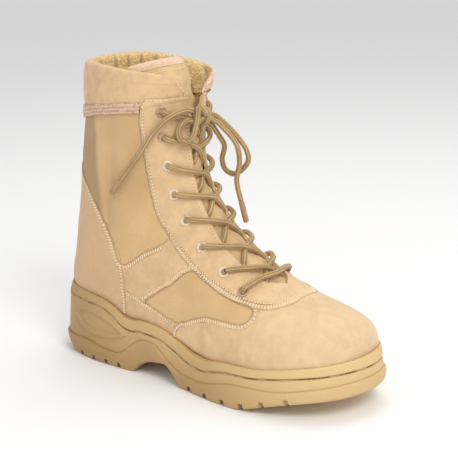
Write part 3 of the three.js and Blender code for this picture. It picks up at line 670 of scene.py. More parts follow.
# The channels, as slabs that are taken away from the tread.
HEEL_XS, HEEL_CHANNEL = (-131, -115, -99, -84, -69), 3
FORE_XS, FORE_CHANNEL = (14, 33, 52, 70, 88, 107), 3.6
CHANNEL_DEPTH, CHANNEL_MOUTH, SLAB_BOTTOM, SLAB_ROWS = 5.2, 1.9, -4, 12
slabs = []
for xs, inner_y, shift, width in [(HEEL_XS, 12, -3, HEEL_CHANNEL), (FORE_XS, 14, -6, FORE_CHANNEL)]:
    slabs += [((x, side * inner_y), (x + shift, side * 70), width) for x in xs for side in (-1, 1)]
slabs += [((-138, y), (-60, y), HEEL_CHANNEL) for y in (-13, 13)]
slabs += [((4, y), (100, y), FORE_CHANNEL) for y in (-15, 15)]
cut_points, cut_faces = [], []
for start, stop, width in slabs:
    start, stop = np.array(start, float), np.array(stop, float)
    middle = start + (stop - start) * np.linspace(0, 1, SLAB_ROWS)[:, None]
    along = unit(stop - start)
    side = np.array([-along[1], along[0]]) * width / 2
    deep = tread(middle[:, 0]) + CHANNEL_DEPTH
    below = 0 * deep + SLAB_BOTTOM
    corners = [(-CHANNEL_MOUTH, below), (CHANNEL_MOUTH, below), (1, deep), (-1, deep)]
    before = len(cut_points) * SLAB_ROWS * 4
    cut_faces += (grid_faces(SLAB_ROWS, 4, close=True) + before).tolist()
    cut_faces += [[before + k for k in end] for end in end_faces(SLAB_ROWS, 4)]
    block = np.stack([np.column_stack([middle + side * share, z]) for share, z in corners], 1)
    cut_points.append(block.reshape(-1, 3))
slab_points = np.concatenate(cut_points)
channels = piece("channels", slab_points, cut_faces, [outsole_rubber], shade=False)
tidy(channels)
carve = outsole.modifiers.new("channels", "BOOLEAN")
carve.object, carve.operation, carve.solver, carve.use_self = channels, "DIFFERENCE", "EXACT", True
carved = bpy.data.meshes.new_from_object(outsole.evaluated_get(bpy.context.evaluated_depsgraph_get()))
outsole.modifiers.clear()
outsole.data = carved
bpy.data.objects.remove(channels)
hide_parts("outsole")


# ---- Midsole: a moulded rubber cup, which the upper sits in and is sewn to through its groove. A
# leaf-shaped ridge stands out on both sides of the heel.

midsole_rubber = rubber("midsole rubber", (0.62, 0.415, 0.19), (0.48, 0.31, 0.13), 0.5)
sole, outward = sole_line(900)

stations, turns = np.meshgrid(np.arange(0.02, 12, 0.03), np.linspace(0, 2 * np.pi, 500), indexing="ij")
cloud = last(stations, turns).reshape(-1, 3)


def against_last(line, outward, height, clear):
    """For each point of the outline, the last's nearest point at that height, less the clearance."""
    band = cloud[np.abs(cloud[:, 2] - height(cloud[:, 0])) < 0.7]
    away = ((line[:, None] - band[None, :, :2]) ** 2).sum(-1)
    near = band[np.argpartition(away, 4, axis=1)[:, :4]].mean(1)
    kernel = np.ones(9) / 9
    wrapped = np.concatenate([near[-4:], near, near[:4]])
    smooth = [np.convolve(wrapped[:, k], kernel, "valid") for k in (0, 1)]
    flat = np.stack(smooth, -1) + outward * clear
    return np.column_stack([flat, height(flat[:, 0])])


CLEARANCE = 0.35  # mm
contact = against_last(sole, outward, rim, CLEARANCE)
reach = ((contact[:, :2] - sole) * outward).sum(1)
# Rings of the wall, as on the outsole: up to the groove, round it, and on to the rim.
profile = [(wave, groove_height, 0, *row) for row in [(-2.5, 0, 4.5), (0.15, 0.9, 4.5), (1.0, 1.0, 4.5)]]
profile += [
    (wave, groove_height, k, 1 - 2.6 * k, 1 - 0.5 * k, 4.5 - 2.1 * k) for k in np.linspace(0.04, 0.96, 22)
]
profile += [(groove_height, rim, 0, *row) for row in [
    (-1.6, 0.5, 2.4), (-1.0, 0.2, 2.3), (-0.7, -0.6, 2.2), (0, -0.9, 2.2), (0.7, -0.6, 2.1), (1.0, 0.2, 2.0),
    (1.6, 0.35, 1.9),
]]
profile += [(groove_height, rim, k, 1.6 - 3.2 * k, 0.35 - 0.8 * k, 1.9 - 1.4 * k) for k in (0.25, 0.5, 0.75)]
profile += [(groove_height, rim, 1, *row) for row in [
    (-1.6, -0.5, 0.5), (-0.8, -0.75, 0.3), (-0.25, -1.2, 0.1), (0, -1.9, 0),
]]
rings = [sole_ring(sole, outward, *row) for row in profile]
# Where the last swells past the outline, the rim is pushed out to stay around it.
for k, ring in enumerate(rings):
    if k > len(rings) - 9:
        past = ((ring[:, :2] - sole) * outward).sum(1)
        ring[:, :2] += outward * np.maximum(reach + 0.5 + 0.25 * (len(rings) - k) - past, 0)[:, None]

# The leaf: two arcs from its tip near the arch to the heel's back, as a raised line on the wall.
leaf = smooth_path([
    (-64, 31), (-71, 35), (-78, 38.3), (-86, 41.5), (-94, 43.7), (-102, 45), (-110, 45), (-117, 43.3),
    (-120.5, 39), (-119.5, 34), (-115, 29.5), (-108.5, 26.5), (-101, 25.3), (-92, 25), (-83, 25.5),
    (-74, 27.5), (-64, 31),
], 0.5)
for k, ring in enumerate(rings[1:26], 1):
    gap = np.sqrt(((ring[:, None, [0, 2]] - leaf[None]) ** 2).sum(-1)).min(1)
    raised = 1.7 * np.exp(-((gap / 1.5) ** 4)) - 0.5 * np.exp(-(((gap - 3) / 1.1) ** 2))
    ring[:, :2] += outward * raised[:, None]

rings.append(contact)
for drop in (4, 8):
    rings.append(against_last(sole, outward, lambda x: np.maximum(rim(x) - drop, wave(x) + 1), CLEARANCE))
floor_ring = rings[-1].copy()
floor_ring[:, :2] += outward
floor_ring[:, 2] = wave(floor_ring[:, 0]) - 2.5
rings.append(floor_ring)
ring_faces = grid_faces(len(rings) + 1, len(sole), close=True) % (len(rings) * len(sole))
midsole = piece("midsole-cup", np.concatenate(rings), ring_faces, [midsole_rubber])
tidy(midsole)
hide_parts("midsole")


# ---- Upper: sand suede panels sewn over coated nylon cloth, with a lining. The nylon shows on the
# shaft's quarters and in an inset on each side; the facings, vamp, slanted band, low strip and
# heel counter with its backstay are suede, each laid over the edge of the one below.

WALL = 2.5
COLLAR_SEAM = np.array([(-140, 214), (-80, 220), (-43, 224), (-17, 229), (20, 232)])

# Panel seams of the outer side, as points (x, z), or (x, y, z) where the side turns to the front.
FACING_SEAM = [
    (87.8, 0, 81.4), (86.7, -15.4, 80), (76, -31.5, 77), (61.6, -37, 78), (28.8, -37.7, 86), (6.2, -35, 97),
    (-9, -33, 107), (-21.6, -30.9, 118.6), (-32.4, -29.7, 131.7), (-39.5, -29.9, 151.6),
    (-40.7, -32.6, 172.5), (-41.4, -36.4, 197), (-42.3, -38, 213), (-41.5, -38, 222), (-37, -37, 229),
]
BAND_TOP = [(-21.6, 118.2), (-43.5, 104.7), (-69, 90.4)]
COUNTER_SEAM = [
    (-67.6, 43), (-65, 56), (-65, 70), (-69, 92), (-79, 113), (-88.5, 133), (-102, -36, 153),
    (-115, -27, 165), (-121.5, -17, 178), (-120.5, -12.5, 196), (-117, -12, 225),
]
QUARTER = [*FACING_SEAM[13:6:-1], *BAND_TOP, *COUNTER_SEAM[4:]]
INSET = [
    (-45.6, 63), (-18.3, 81.2), (6.4, 97.2), (28.8, 86), (48, 80.5), (58, 79.5), (64, 76.5), (65.5, 71.5),
    (61, 66.6), (44, 65), (20, 63.3), (7, 58.8), (-7, 53.2), (-26.6, 57), (-45.6, 63),
]
STRIP_SEAM = [(-65, 68.5), (-54, 65.6), (-45.6, 62.6), (-28.6, 57.6), (-11.1, 51.4)]
VAMP_SEAM = [(-14.5, 39.5), (-13, 44.6), (-9.6, 49.5), (-3, 54.6)]
net_t, net_a = np.meshgrid(np.arange(0.1, 16.9, 0.04), np.linspace(0, np.pi, 220), indexing="ij")
net_t, net_a = net_t.ravel(), net_a.ravel()
net = last(net_t, net_a)


def on_last(points):
    """A seam's points as (station, turn) samples about 1 mm apart on the outer side of the last."""
    found = []
    for point in points:
        axes = [0, 2] if len(point) == 2 else [0, 1, 2]
        found.append(net[np.argmin(((net[:, axes] - point) ** 2).sum(1))])
    path = smooth_path(found, 1.0)
    near = np.array([np.argmin(((net - p) ** 2).sum(1)) for p in path])
    seam = np.column_stack([net_t[near], net_a[near]])
    padded = np.vstack([np.repeat(seam[:1], 3, axis=0), seam, np.repeat(seam[-1:], 3, axis=0)])
    return np.column_stack([np.convolve(padded[:, k], np.ones(7) / 7, "valid") for k in (0, 1)])


def within(t, a, edge):
    """Whether points lie in a closed line, by counting its crossings."""
    inside = np.zeros(t.shape, bool)
    for (t0, a0), (t1, a1) in zip(edge, np.roll(edge, -1, axis=0)):
        if t0 != t1:
            inside ^= ((t0 > t) != (t1 > t)) & (a < (a1 - a0) * (t - t0) / (t1 - t0) + a0)
    return inside


def depth_inside(points, t, a, seam, closing=()):
    """How far points lie inside a panel's seam in millimetres, negative outside it."""
    line = last(seam[:, 0], seam[:, 1]).astype(np.float32)
    mirrored = np.where(points[..., 1:2] > 0, [1, -1, 1], [1, 1, 1]) * points
    mirrored = mirrored.reshape(-1, 3).astype(np.float32)
    gap = np.concatenate([
        np.sqrt(((part[:, None] - line[None]) ** 2).sum(-1)).min(1) for part in np.array_split(mirrored, 60)
    ]).reshape(t.shape)
    return np.where(within(t, a, np.vstack([seam, *closing])), gap, -gap)


facing_seam, counter_seam, quarter, inset, strip_seam, vamp_seam = map(
    on_last, (FACING_SEAM, COUNTER_SEAM, QUARTER, INSET, STRIP_SEAM, VAMP_SEAM))

# Rows run from the toe to the collar's seam, columns from one facing's edge round to the other's.
ROWS_BELOW, ROWS_ABOVE, COLUMNS = 292, 70, 124
SHAFT_LOW, SHAFT_HIGH = 13, 16.9  # stations under and over the collar's seam and rim
guide_t = np.linspace(0.02, SHAFT_LOW, 800)
guide = run_along(last(guide_t, 1.1)) + run_along(last(guide_t, 0.0))
rows_below = np.interp(np.linspace(0, guide[-1], ROWS_BELOW), guide, guide_t)
share = np.linspace(0, 1, COLUMNS)


def column_turns(t, side):
    """Turns of one side's columns at stations t, from the facing's edge to the sole or back."""
    edge = throat_turn(t, side)
    return edge + (np.pi - edge) * share


def facing_top(x):
    """The shell's top edge: the collar's seam, and on the facings a tab that laps over the collar."""
    seam, tab = height_at(COLLAR_SEAM, x), 230.8
    return seam - 0.15 + (tab - seam) * smoothstep(x, -42, -37.5) ** 0.6


def upper_grid(side):
    """Stations and turns of one side's points, up to the collar's seam."""
    def below_top(t):
        p = last(t, side * column_turns(t, side))
        return p[:, 2] < facing_top(p[:, 0])

    top = halved(below_top, SHAFT_LOW, SHAFT_HIGH, COLUMNS)
    above = SHAFT_LOW + (top - SHAFT_LOW) * np.linspace(0, 1, ROWS_ABOVE + 1)[1:, None]
    t = np.vstack([np.repeat(rows_below[:, None], COLUMNS, axis=1), above])
    return t, column_turns(t, side)


# Soft troughs and ridges: two ends (x, y, z), half width and depth, negative for a ridge.
CREASES = [
    ((58, -30, 82), (30, -42, 66), 5.0, 0.9), ((74, -26, 84), (54, -44, 62), 4.5, 0.8),
    ((66, -22, 88), (46, -46, 60), 4.0, -0.6), ((88, -10, 82), (84, -40, 58), 6.0, 0.5),
    ((90, 12, 82), (84, 40, 58), 6.0, 0.5), ((-16, -33, 112), (-46, -36, 98), 5.0, 0.7),
    ((-30, -31, 126), (-62, -37, 110), 6.5, 1.1), ((-36, -31, 140), (-70, -38, 128), 5.5, -0.7),
    ((-40, -32, 158), (-86, -38, 146), 7.0, 0.9), ((-44, -35, 180), (-96, -38, 172), 8.0, -0.6),
    ((-44, -36, 196), (-104, -38, 196), 7.0, 0.7), ((-60, -38, 210), (-58, -38, 170), 6.0, 0.5),
    ((-84, -39, 208), (-80, -38, 160), 7.0, 0.5), ((-124, 0, 150), (-100, -36, 118), 7.0, 0.6),
    ((20, -40, 78), (-14, -39, 62), 4.5, 0.5), ((-2, -36, 92), (-30, -37, 72), 4.5, 0.4),
    ((-22, 31, 118), (-60, 37, 104), 6.0, 0.9), ((-38, 32, 150), (-84, 38, 142), 7.0, 0.8),
    ((70, 24, 86), (50, 42, 62), 4.5, 0.7),
]


def crease_depth(points):
    """The troughs' depth at each point: a bell across the crease that fades out at its ends."""
    total = np.zeros(points.shape[:-1])
    for start, stop, width, depth in CREASES:
        start, stop = np.array(start, float), np.array(stop, float)
        f = ((points - start) @ (stop - start)) / ((stop - start) @ (stop - start))
        held = np.clip(f, 0, 1)
        gap = np.linalg.norm(points - start - held[..., None] * (stop - start), axis=-1)
        fade = smoothstep(held, -0.05, 0.3) * smoothstep(1 - held, -0.05, 0.3)
        total += depth * np.exp(-((gap / width) ** 2)) * (0.25 + 0.75 * fade)
    return total


def collar_flare(a, k):
    """How far the collar's inner front corner folds outwards, a share k of the way up it: a bell
    over the turn."""
    return np.array([2, 12, -3]) * (np.exp(-(((a - 0.75) / 0.5) ** 2)) * k**0.6)[..., None]


def upper_side(side):
    """One side's outer points and its panels' depths: nylon, facing and counter."""
    t, a = upper_grid(side)
    p, n = last(t, side * a), last_normal(t, side * a)
    nylon = np.maximum(depth_inside(p, t, a, quarter), depth_inside(p, t, a, inset))
    # A panel that runs up to the top or round past the last's front or back is closed out there.
    facing, counter = (
        depth_inside(p, t, a, seam, [[(17, seam[-1, 1]), (17, beyond), (seam[0, 0], beyond)]])
        for seam, beyond in ((facing_seam, -0.2), (counter_seam, 3.4))
    )
    lines = np.minimum(*(np.abs(depth_inside(p, t, a, seam)) for seam in (strip_seam[:28], vamp_seam)))
    over_rim = smoothstep(p[..., 2] - rim(p[..., 0]), 1.0, 5.0)
    out = -0.85 * smoothstep(nylon, -0.5, 0.5) + 0.42 * smoothstep(facing, -0.45, 0.45) * over_rim
    out += 0.3 * smoothstep(counter, -0.5, 0.5) * over_rim - crease_depth(p) * over_rim
    # The nylon is stretched between its seams, so it swells a little away from them.
    x, z = p[..., 0], p[..., 2]
    out += 0.7 * smoothstep(nylon, 1.5, 14)
    out += 0.18 * over_rim * np.sin(x / 7.1 + z / 5.3) * np.sin(z / 9.7 - 1)
    over_seam = p[..., 2] - height_at(COLLAR_SEAM, p[..., 0])
    out += 1.35 * smoothstep(over_seam, -3, 0.5) * (p[..., 0] > -60)
    p = p + n * out[..., None]
    if side < 0:
        p = p + collar_flare(a, np.clip(over_seam / 30, 0, 1))
    # The facing's edge rolls in from its face to the lining.
    rolled = np.where(t[:, :1] > 5.1, 1.0, 0.0)
    edge = np.stack([p[:, 0] - n[:, 0] * rolled * k for k in (2.9, 2.0, 0.9, 0.25)], 1)
    padded = (np.pad(v, ((0, 0), (edge.shape[1], 0)), "edge") for v in (nylon, facing, counter, lines))
    return np.concatenate([edge, p], axis=1), *padded


outer_side, inner_side = upper_side(1), upper_side(-1)
grid = [np.concatenate([one, other[:, -2::-1]], axis=1) for one, other in zip(outer_side, inner_side)]
rows, columns = grid[0].shape[:2]
step_along = np.linalg.norm(np.diff(grid[0], axis=0, prepend=grid[0][:1]), axis=-1)
step_round = np.linalg.norm(np.diff(grid[0], axis=1, prepend=grid[0][:, :1]), axis=-1)
cloth_uv = np.stack([np.cumsum(step_round, axis=1), np.cumsum(step_along, axis=0)], -1)


def weave(here, pitch):
    """A basket weave in the piece's own cloth coordinates, which are millimetres."""
    cloth = here.node("ShaderNodeUVMap", {"uv_map": "cloth"}, {})
    u, v = (cloth.maths("SINE", cloth.part(axis) * (2 * np.pi / pitch)) for axis in (0, 1))
    return u * v * 0.5 + 0.5


def suede_look(here, light, dark):
    """Suede's colour and nap: broad brushed patches, finer mottling and short fibres."""
    brushed = noise(here, 38, 4, 1.2)
    mottled = noise(here, 160, 4)
    colour = mixed((brushed * 0.65 + mottled * 0.45).between(0.3, 0.8), dark, light)
    nap = noise(here, 900, 3) * 0.6 + noise(here, 2600, 2) * 0.4
    return colour, nap, brushed


def sewn_upper():
    """The upper's shell: suede and nylon, told apart by how far a point lies inside a seam."""
    made, shader, here = finish("suede and nylon", 0.95, 0.25)
    nylon, facing, counter = (here.carried(name) for name in ("nylon", "facing", "counter"))
    x, z = here.part(0), here.part(2)
    suede, nap, brushed = suede_look(here, SUEDE_LIGHT, SUEDE_DARK)
    # Painted shade: the suede darkens towards the heel, which faces away from the key light.
    heelward_shade = (0 - x).between(-0.02, 0.13)
    suede = mixed(heelward_shade * 0.75, suede, SUEDE_HEEL_SHADE)
    near_toe = x.between(0.04, 0.12) * (1 - z.between(0.05, 0.085))
    scuffs = noise(here, 55, 5, 2.0).between(0.56, 0.72) * near_toe
    # Painted light: the suede lightens towards the toe, which faces the key light.
    toeward_light = x.between(0.06, 0.13)
    suede = mixed(toeward_light * 0.4, suede, (0.74, 0.575, 0.355))
    suede = mixed(scuffs * 0.4, suede, (0.66, 0.38, 0.25))
    speckles = noise(here, 420, 5).between(0.6, 0.7)
    suede = mixed(speckles * 0.16, suede, (0.88, 0.69, 0.45))
    thread = weave(here, 1.5)
    cloth = mixed((thread * 0.45 + noise(here, 30, 3) * 0.55).between(0.2, 0.8), NYLON_DARK, NYLON_LIGHT)
    # Painted shade: the nylon darkens sharply towards the heel, where the quarter turns away from the key
    # light.
    cloth = mixed((0 - x).between(0.081, 0.088) * 0.62, cloth, NYLON_REAR_SHADE)
    is_nylon = nylon.between(-0.15, 0.15)
    colour = mixed(is_nylon, suede, cloth)
    # Dust and shade gather in the folds beside each seam, on its lower panel.
    beside = (1 - nylon.between(0.0, 1.6)) * is_nylon
    under = [
        (1 - (0 - panel).between(0.0, 1.2)) * (0 - panel).between(-0.1, 0.1) for panel in (facing, counter)
    ]
    shade = here.maths("MAXIMUM", beside, here.maths("MAXIMUM", *under))
    cut_line = 1 - here.carried("lines").between(0.15, 0.7)
    shade = here.maths("MAXIMUM", shade * 0.55, cut_line * 0.6)
    steps = (1 - nylon.between(-0.35, 0.1)) * 0.5 - cut_line * 0.4
    steps = steps + facing.between(-0.1, 0.35) * 0.3 + counter.between(-0.1, 0.35) * 0.3
    surface = nap * (1 - is_nylon) * 0.13 + thread * is_nylon * 0.2 + brushed * 0.2 + steps
    paint(shader, mixed(shade, colour, (0.30, 0.17, 0.075)), bumped(surface, 0.0011))
    return made


# The suede's third colour is its painted shade towards the heel.
SUEDE_LIGHT, SUEDE_DARK, SUEDE_HEEL_SHADE = (0.77, 0.535, 0.305), (0.62, 0.415, 0.225), (0.56, 0.37, 0.2)
# The nylon's third colour is its painted shade towards the heel.
NYLON_LIGHT, NYLON_DARK, NYLON_REAR_SHADE = (0.80, 0.535, 0.265), (0.58, 0.365, 0.165), (0.29, 0.17, 0.068)
upper = piece(
    "upper-shell", grid[0], grid_faces(rows, columns), [sewn_upper()], uv=cloth_uv,
    values={"nylon": grid[1], "facing": grid[2], "counter": grid[3], "lines": grid[4]},
)
tidy(upper)
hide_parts("upper")

lining_look, lining_shader, lining_here = finish("lining mesh", 0.9, 0.2)
pebbles = lining_here.node("ShaderNodeTexVoronoi", {}, {"Vector": lining_here, "Scale": 520}, out=0)
lining_colour = mixed(pebbles.between(0.15, 0.75), (0.86, 0.62, 0.30), (0.64, 0.44, 0.195))
# Painted shade darkens the lining in the troughs of the collar's folds.
lining_colour = mixed(lining_here.carried("fold_shade") * 0.6, lining_colour, (0.26, 0.155, 0.06))
paint(lining_shader, lining_colour, bumped(1 - pebbles, 0.0006))


def lining_side(side):
    """The lining's points: a wall's thickness inside the last, dropping out under the foot."""
    t, a = (grid[::3, ::3] for grid in upper_grid(side))
    n = last_normal(t, side * a)
    is_open = np.where(t < 11.2, smoothstep(-n[..., 2], 0.5, 0.8), 0)
    p = last(t, side * a) - n * ((WALL + 0.4) * (1 - is_open))[..., None]
    p[..., 2] -= 8 * is_open
    return p


lining_grid = np.concatenate([lining_side(1), lining_side(-1)[:, -2::-1]], axis=1)
lining_faces = grid_faces(*lining_grid.shape[:2])[:, ::-1]
lining = piece("lining", lining_grid, lining_faces, [lining_look])
tidy(lining, outward=False)

footbed = bpy.data.objects["insole"]
for place in footbed.material_slots:
    place.link = "OBJECT"
    place.material = lining_look


# ---- Seams: thick cream thread. Panels are joined by a wide slanted stitch, and single rows hold
# the edges of the facings.

thread_look, thread_shader, thread_here = finish("cream thread", 0.7, 0.2)
paint(thread_shader, mixed(noise(thread_here, 300, 2), (0.80, 0.62, 0.40), (0.92, 0.76, 0.54)))
waxed_look, waxed_shader, waxed_here = finish("waxed brown thread", 0.6)
paint(waxed_shader, mixed(
    noise(waxed_here, 90, 3).between(0.35, 0.65), (0.22, 0.12, 0.045), (0.62, 0.43, 0.21)))
# A stitch's rings: place along it and radius, as shares of its half length and its thickest radius.
STITCH_ALONG, STITCH_WIDTH = np.array([(-1, 0.35), (-0.8, 1), (0.8, 1), (1, 0.35)]).T[:, None, :, None, None]


def stitches(name, rows, look=thread_look):
    """Rows of stitches as one piece. A row has its middles, directions, normals and half length."""
    skin, faces = [], []
    for middles, along, normal, half_length, radius in rows:
        side = np.cross(normal, along)
        turn = np.arange(6) * np.pi / 3
        ring = np.cos(turn)[:, None] * side[:, None] + np.sin(turn)[:, None] * 0.8 * normal[:, None]
        shape = (
            middles[:, None, None] + STITCH_ALONG * half_length * along[:, None, None]
            + ring[:, None] * STITCH_WIDTH * radius
            - normal[:, None, None] * np.abs(STITCH_ALONG) * radius * 0.5
        )
        before = sum(len(s) for s in skin) + np.arange(len(middles)) * 24
        faces += (grid_faces(4, 6, close=True)[None] + before[:, None, None]).reshape(-1, 4).tolist()
        for cap in end_faces(4, 6):
            faces += (np.array(cap)[None] + before[:, None]).tolist()
        skin.append(shape.reshape(-1, 3))
    return piece(name, np.concatenate(skin), faces, [look])


THREAD_LIFT = 0.12  # mm


def seam_row(seam, sides, offset, lift, pitch, half_length, slant, radius, span):
    """Stitches along a seam of the last, offset across it, on the given sides of the boot. span is
    the part of the seam that they cover."""
    made = []
    for side in sides:
        t, a = seam[:, 0], seam[:, 1] * side
        line = last(t, a)
        far = run_along(line)
        at = np.arange(span[0] * far[-1] + pitch / 2, span[1] * far[-1] - pitch / 2, pitch)
        (_, back), (_, middle), (normal, front) = (
            (last_normal(*spot), last(*spot))
            for spot in ((np.interp(at + step, far, t), np.interp(at + step, far, a)) for step in (-1, 0, 1))
        )
        ahead = unit(front - back)
        aside = np.cross(normal, ahead) * side
        along = ahead * np.cos(slant) + aside * np.sin(slant)
        place = middle + aside * offset
        out = lift + THREAD_LIFT - crease_depth(middle)
        made.append((place + normal * out[:, None], along, normal, half_length, radius))
    return made


# Rows on both sides: seam, offset, lift, pitch, half length, slant, radius and span.
PITCH, SLANT, THICK_THREAD = 2.5, 1.15, 0.5
PANEL_ROWS = [
    (facing_seam, -2.3, 0.62, PITCH, 1.6, SLANT, 0.48, (0, 0.52)),
    (facing_seam, -5.0, 0.58, 2.6, 0.9, 0, 0.36, (0, 0.52)),
    (facing_seam, -2.6, 0.56, 2.9, 0.9, 0.5, 0.44, (0.52, 1)),
    (quarter, 2.1, 0.3, PITCH, 1.6, SLANT, THICK_THREAD, (0.37, 1)),
    (inset, 2.1, 0.3, PITCH, 1.6, SLANT, THICK_THREAD, (0, 0.26)),
    (inset, 2.1, 0.3, PITCH, 1.6, SLANT, THICK_THREAD, (0.5, 0.83)),
    (counter_seam, 2.1, 0.5, PITCH, 1.5, SLANT, THICK_THREAD, (0.02, 0.25)),
    (strip_seam, -2.2, 0.25, PITCH, 1.6, SLANT, THICK_THREAD, (0, 1)),
    (vamp_seam, -2.2, 0.25, PITCH, 1.5, SLANT, THICK_THREAD, (0, 1)),
]
seam_rows = [made for seam, *row in PANEL_ROWS for made in seam_row(seam, (1, -1), *row)]
edge_t = np.linspace(5.5, 15.2, 160)
for side in (1, -1):
    facing_edge = np.column_stack([edge_t, throat_turn(edge_t, side, -2.2)])
    seam_rows += seam_row(facing_edge, (side,), 0, 0.55, 2.8, 1.0, 0, 0.28, (0, 1))
stitches("panel-stitches", seam_rows)

# Small dark capsules, one at each end of a stitch, stand for the needle's holes; their dark colour is painted
# shade.
hole_shade_look = matte("needle hole shade", (0.22, 0.125, 0.06), 0.9)
stitches("needle-hole-shades", [
    (middles + way * (half_length + 0.15) * along - 0.3 * normal, along, normal, 0.34, 0.3)
    for middles, along, normal, half_length, _ in seam_rows for way in (-1, 1)
], look=hole_shade_look)

# The groove's stitches, long and pale, hold the upper's bottom edge to the cup.
line, outward_there = sole_line(190)
middle = sole_ring(line, outward_there, groove_height, rim, 0, 0, -0.25, 2.2)
ahead = unit(np.roll(middle, -1, axis=0) - np.roll(middle, 1, axis=0))
facing_out = np.pad(outward_there, ((0, 0), (0, 1)))
stitches("groove-stitches", [(middle, ahead, facing_out, 1.7, 0.5)], waxed_look)


# ---- Eyelets: sixteen painted brass eyelets, pressed through the facings and rolled over. The
# middle ones are paler than the lowest and the two top ones.

def eyelet_paint(name, light, dark):
    made, shader, here = finish(name, 0.4)
    paint(shader, mixed(noise(here, 260, 3).between(0.4, 0.7), light, dark))
    shader.inputs["Metallic"].default_value = 0.15
    return made


EYELET_PROFILE = np.array([
    (4.3, 0.5), (4.42, 0.75), (4.3, 1.0), (3.95, 1.22), (3.5, 1.36), (3.05, 1.3), (2.7, 1.05), (2.5, 0.5),
    (2.5, -2.6), (3.0, -2.6), (3.0, 0.5),
])
EYELET_SIDES = 36
eyelet_looks = [
    eyelet_paint("pale eyelet paint", (0.80, 0.70, 0.56), (0.58, 0.45, 0.31)),
    eyelet_paint("worn eyelet paint", (0.50, 0.36, 0.24), (0.33, 0.22, 0.13)),
]
for side, label in [(1, "lateral"), (-1, "medial")]:
    centre = last(EYELET_STATIONS, side * EYELET_TURN)
    axis = last_normal(EYELET_STATIONS, side * EYELET_TURN)
    first = unit(np.cross(axis, (0.3, 0.2, 1)))
    second = np.cross(axis, first)
    turn = np.linspace(0, 2 * np.pi, EYELET_SIDES, endpoint=False)
    ring = np.cos(turn)[None, :, None] * first[:, None] + np.sin(turn)[None, :, None] * second[:, None]
    shape = (
        centre[:, None, None] + EYELET_PROFILE[None, :, None, :1] * ring[:, None]
        + EYELET_PROFILE[None, :, None, 1:] * axis[:, None, None]
    )
    per = len(EYELET_PROFILE) * EYELET_SIDES
    one = grid_faces(len(EYELET_PROFILE) + 1, EYELET_SIDES, close=True) % per
    faces = (one[None] + (np.arange(8) * per)[:, None, None]).reshape(-1, 4)
    which = np.repeat(np.isin(np.arange(8), (0, 6, 7)).astype(int), len(one))
    ring_of_metal = piece(f"eyelets-{label}", shape, faces, eyelet_looks, which=which)
    tidy(ring_of_metal)
    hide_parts(*[f"eyelet_{label}_{k}" for k in range(1, 9)])


# ---- Collar: soft suede over foam, lined with pebbled mesh. It is open at the front, where its
# inner corner folds outwards, and a woven tape covers its seam.

COLLAR_RIM = np.array([
    (-140, 257), (-95, 257.5), (-75, 256), (-50, 253), (-30, 250), (-18, 247), (-12, 244), (20, 240),
])
COLLAR_PROFILE = [
    (-0.01, 0.3), (0.08, 0.9), (0.2, 1.4), (0.5, 1.7), (0.8, 1.2), (0.95, -0.4), (1, -3), (0.95, -6.2),
    (0.75, -7.8), (0.4, -7.6), (0.12, -6), (0, -4.2), (-0.02, -2), (-0.01, 0.3),
]
PROFILE_SCALE = 32
collar_loop = smooth_path(np.array(COLLAR_PROFILE) * (PROFILE_SCALE, 1), 1.0)[:-1] / (PROFILE_SCALE, 1)
COLLAR_COLUMNS = 460


def collar_point(k, u, out):
    """Points of the collar: a share k up from its seam to its rim, a share u of the way round from
    its outer front edge to its inner one, and out of the last."""
    def below_height(t):
        _, p = collar_turn(t, u)
        seam = height_at(COLLAR_SEAM, p[..., 0]) + 0.6
        return p[..., 2] < seam + k * (height_at(COLLAR_RIM, p[..., 0]) - seam)

    t = halved(below_height, SHAFT_LOW, SHAFT_HIGH, k.shape)
    a, p = collar_turn(t, u)
    inner_a = np.where(a > np.pi, 2 * np.pi - a, FAR_FROM_FLAP)
    return p + last_normal(t, a) * out[..., None] + collar_flare(inner_a, np.clip(k, 0, 1))


FAR_FROM_FLAP = 9.0  # a turn at which the flap's bell is nothing
edge_table = np.linspace(12.9, 17, 300)
outer_edges, inner_edges = throat_turn(edge_table, 1), throat_turn(edge_table, -1)


def collar_turn(t, u):
    start = np.interp(t, edge_table, outer_edges)
    stop = 2 * np.pi - np.interp(t, edge_table, inner_edges)
    a = start + (stop - start) * u
    return a, last(t, a)


CLOTH_FRAMES = 20


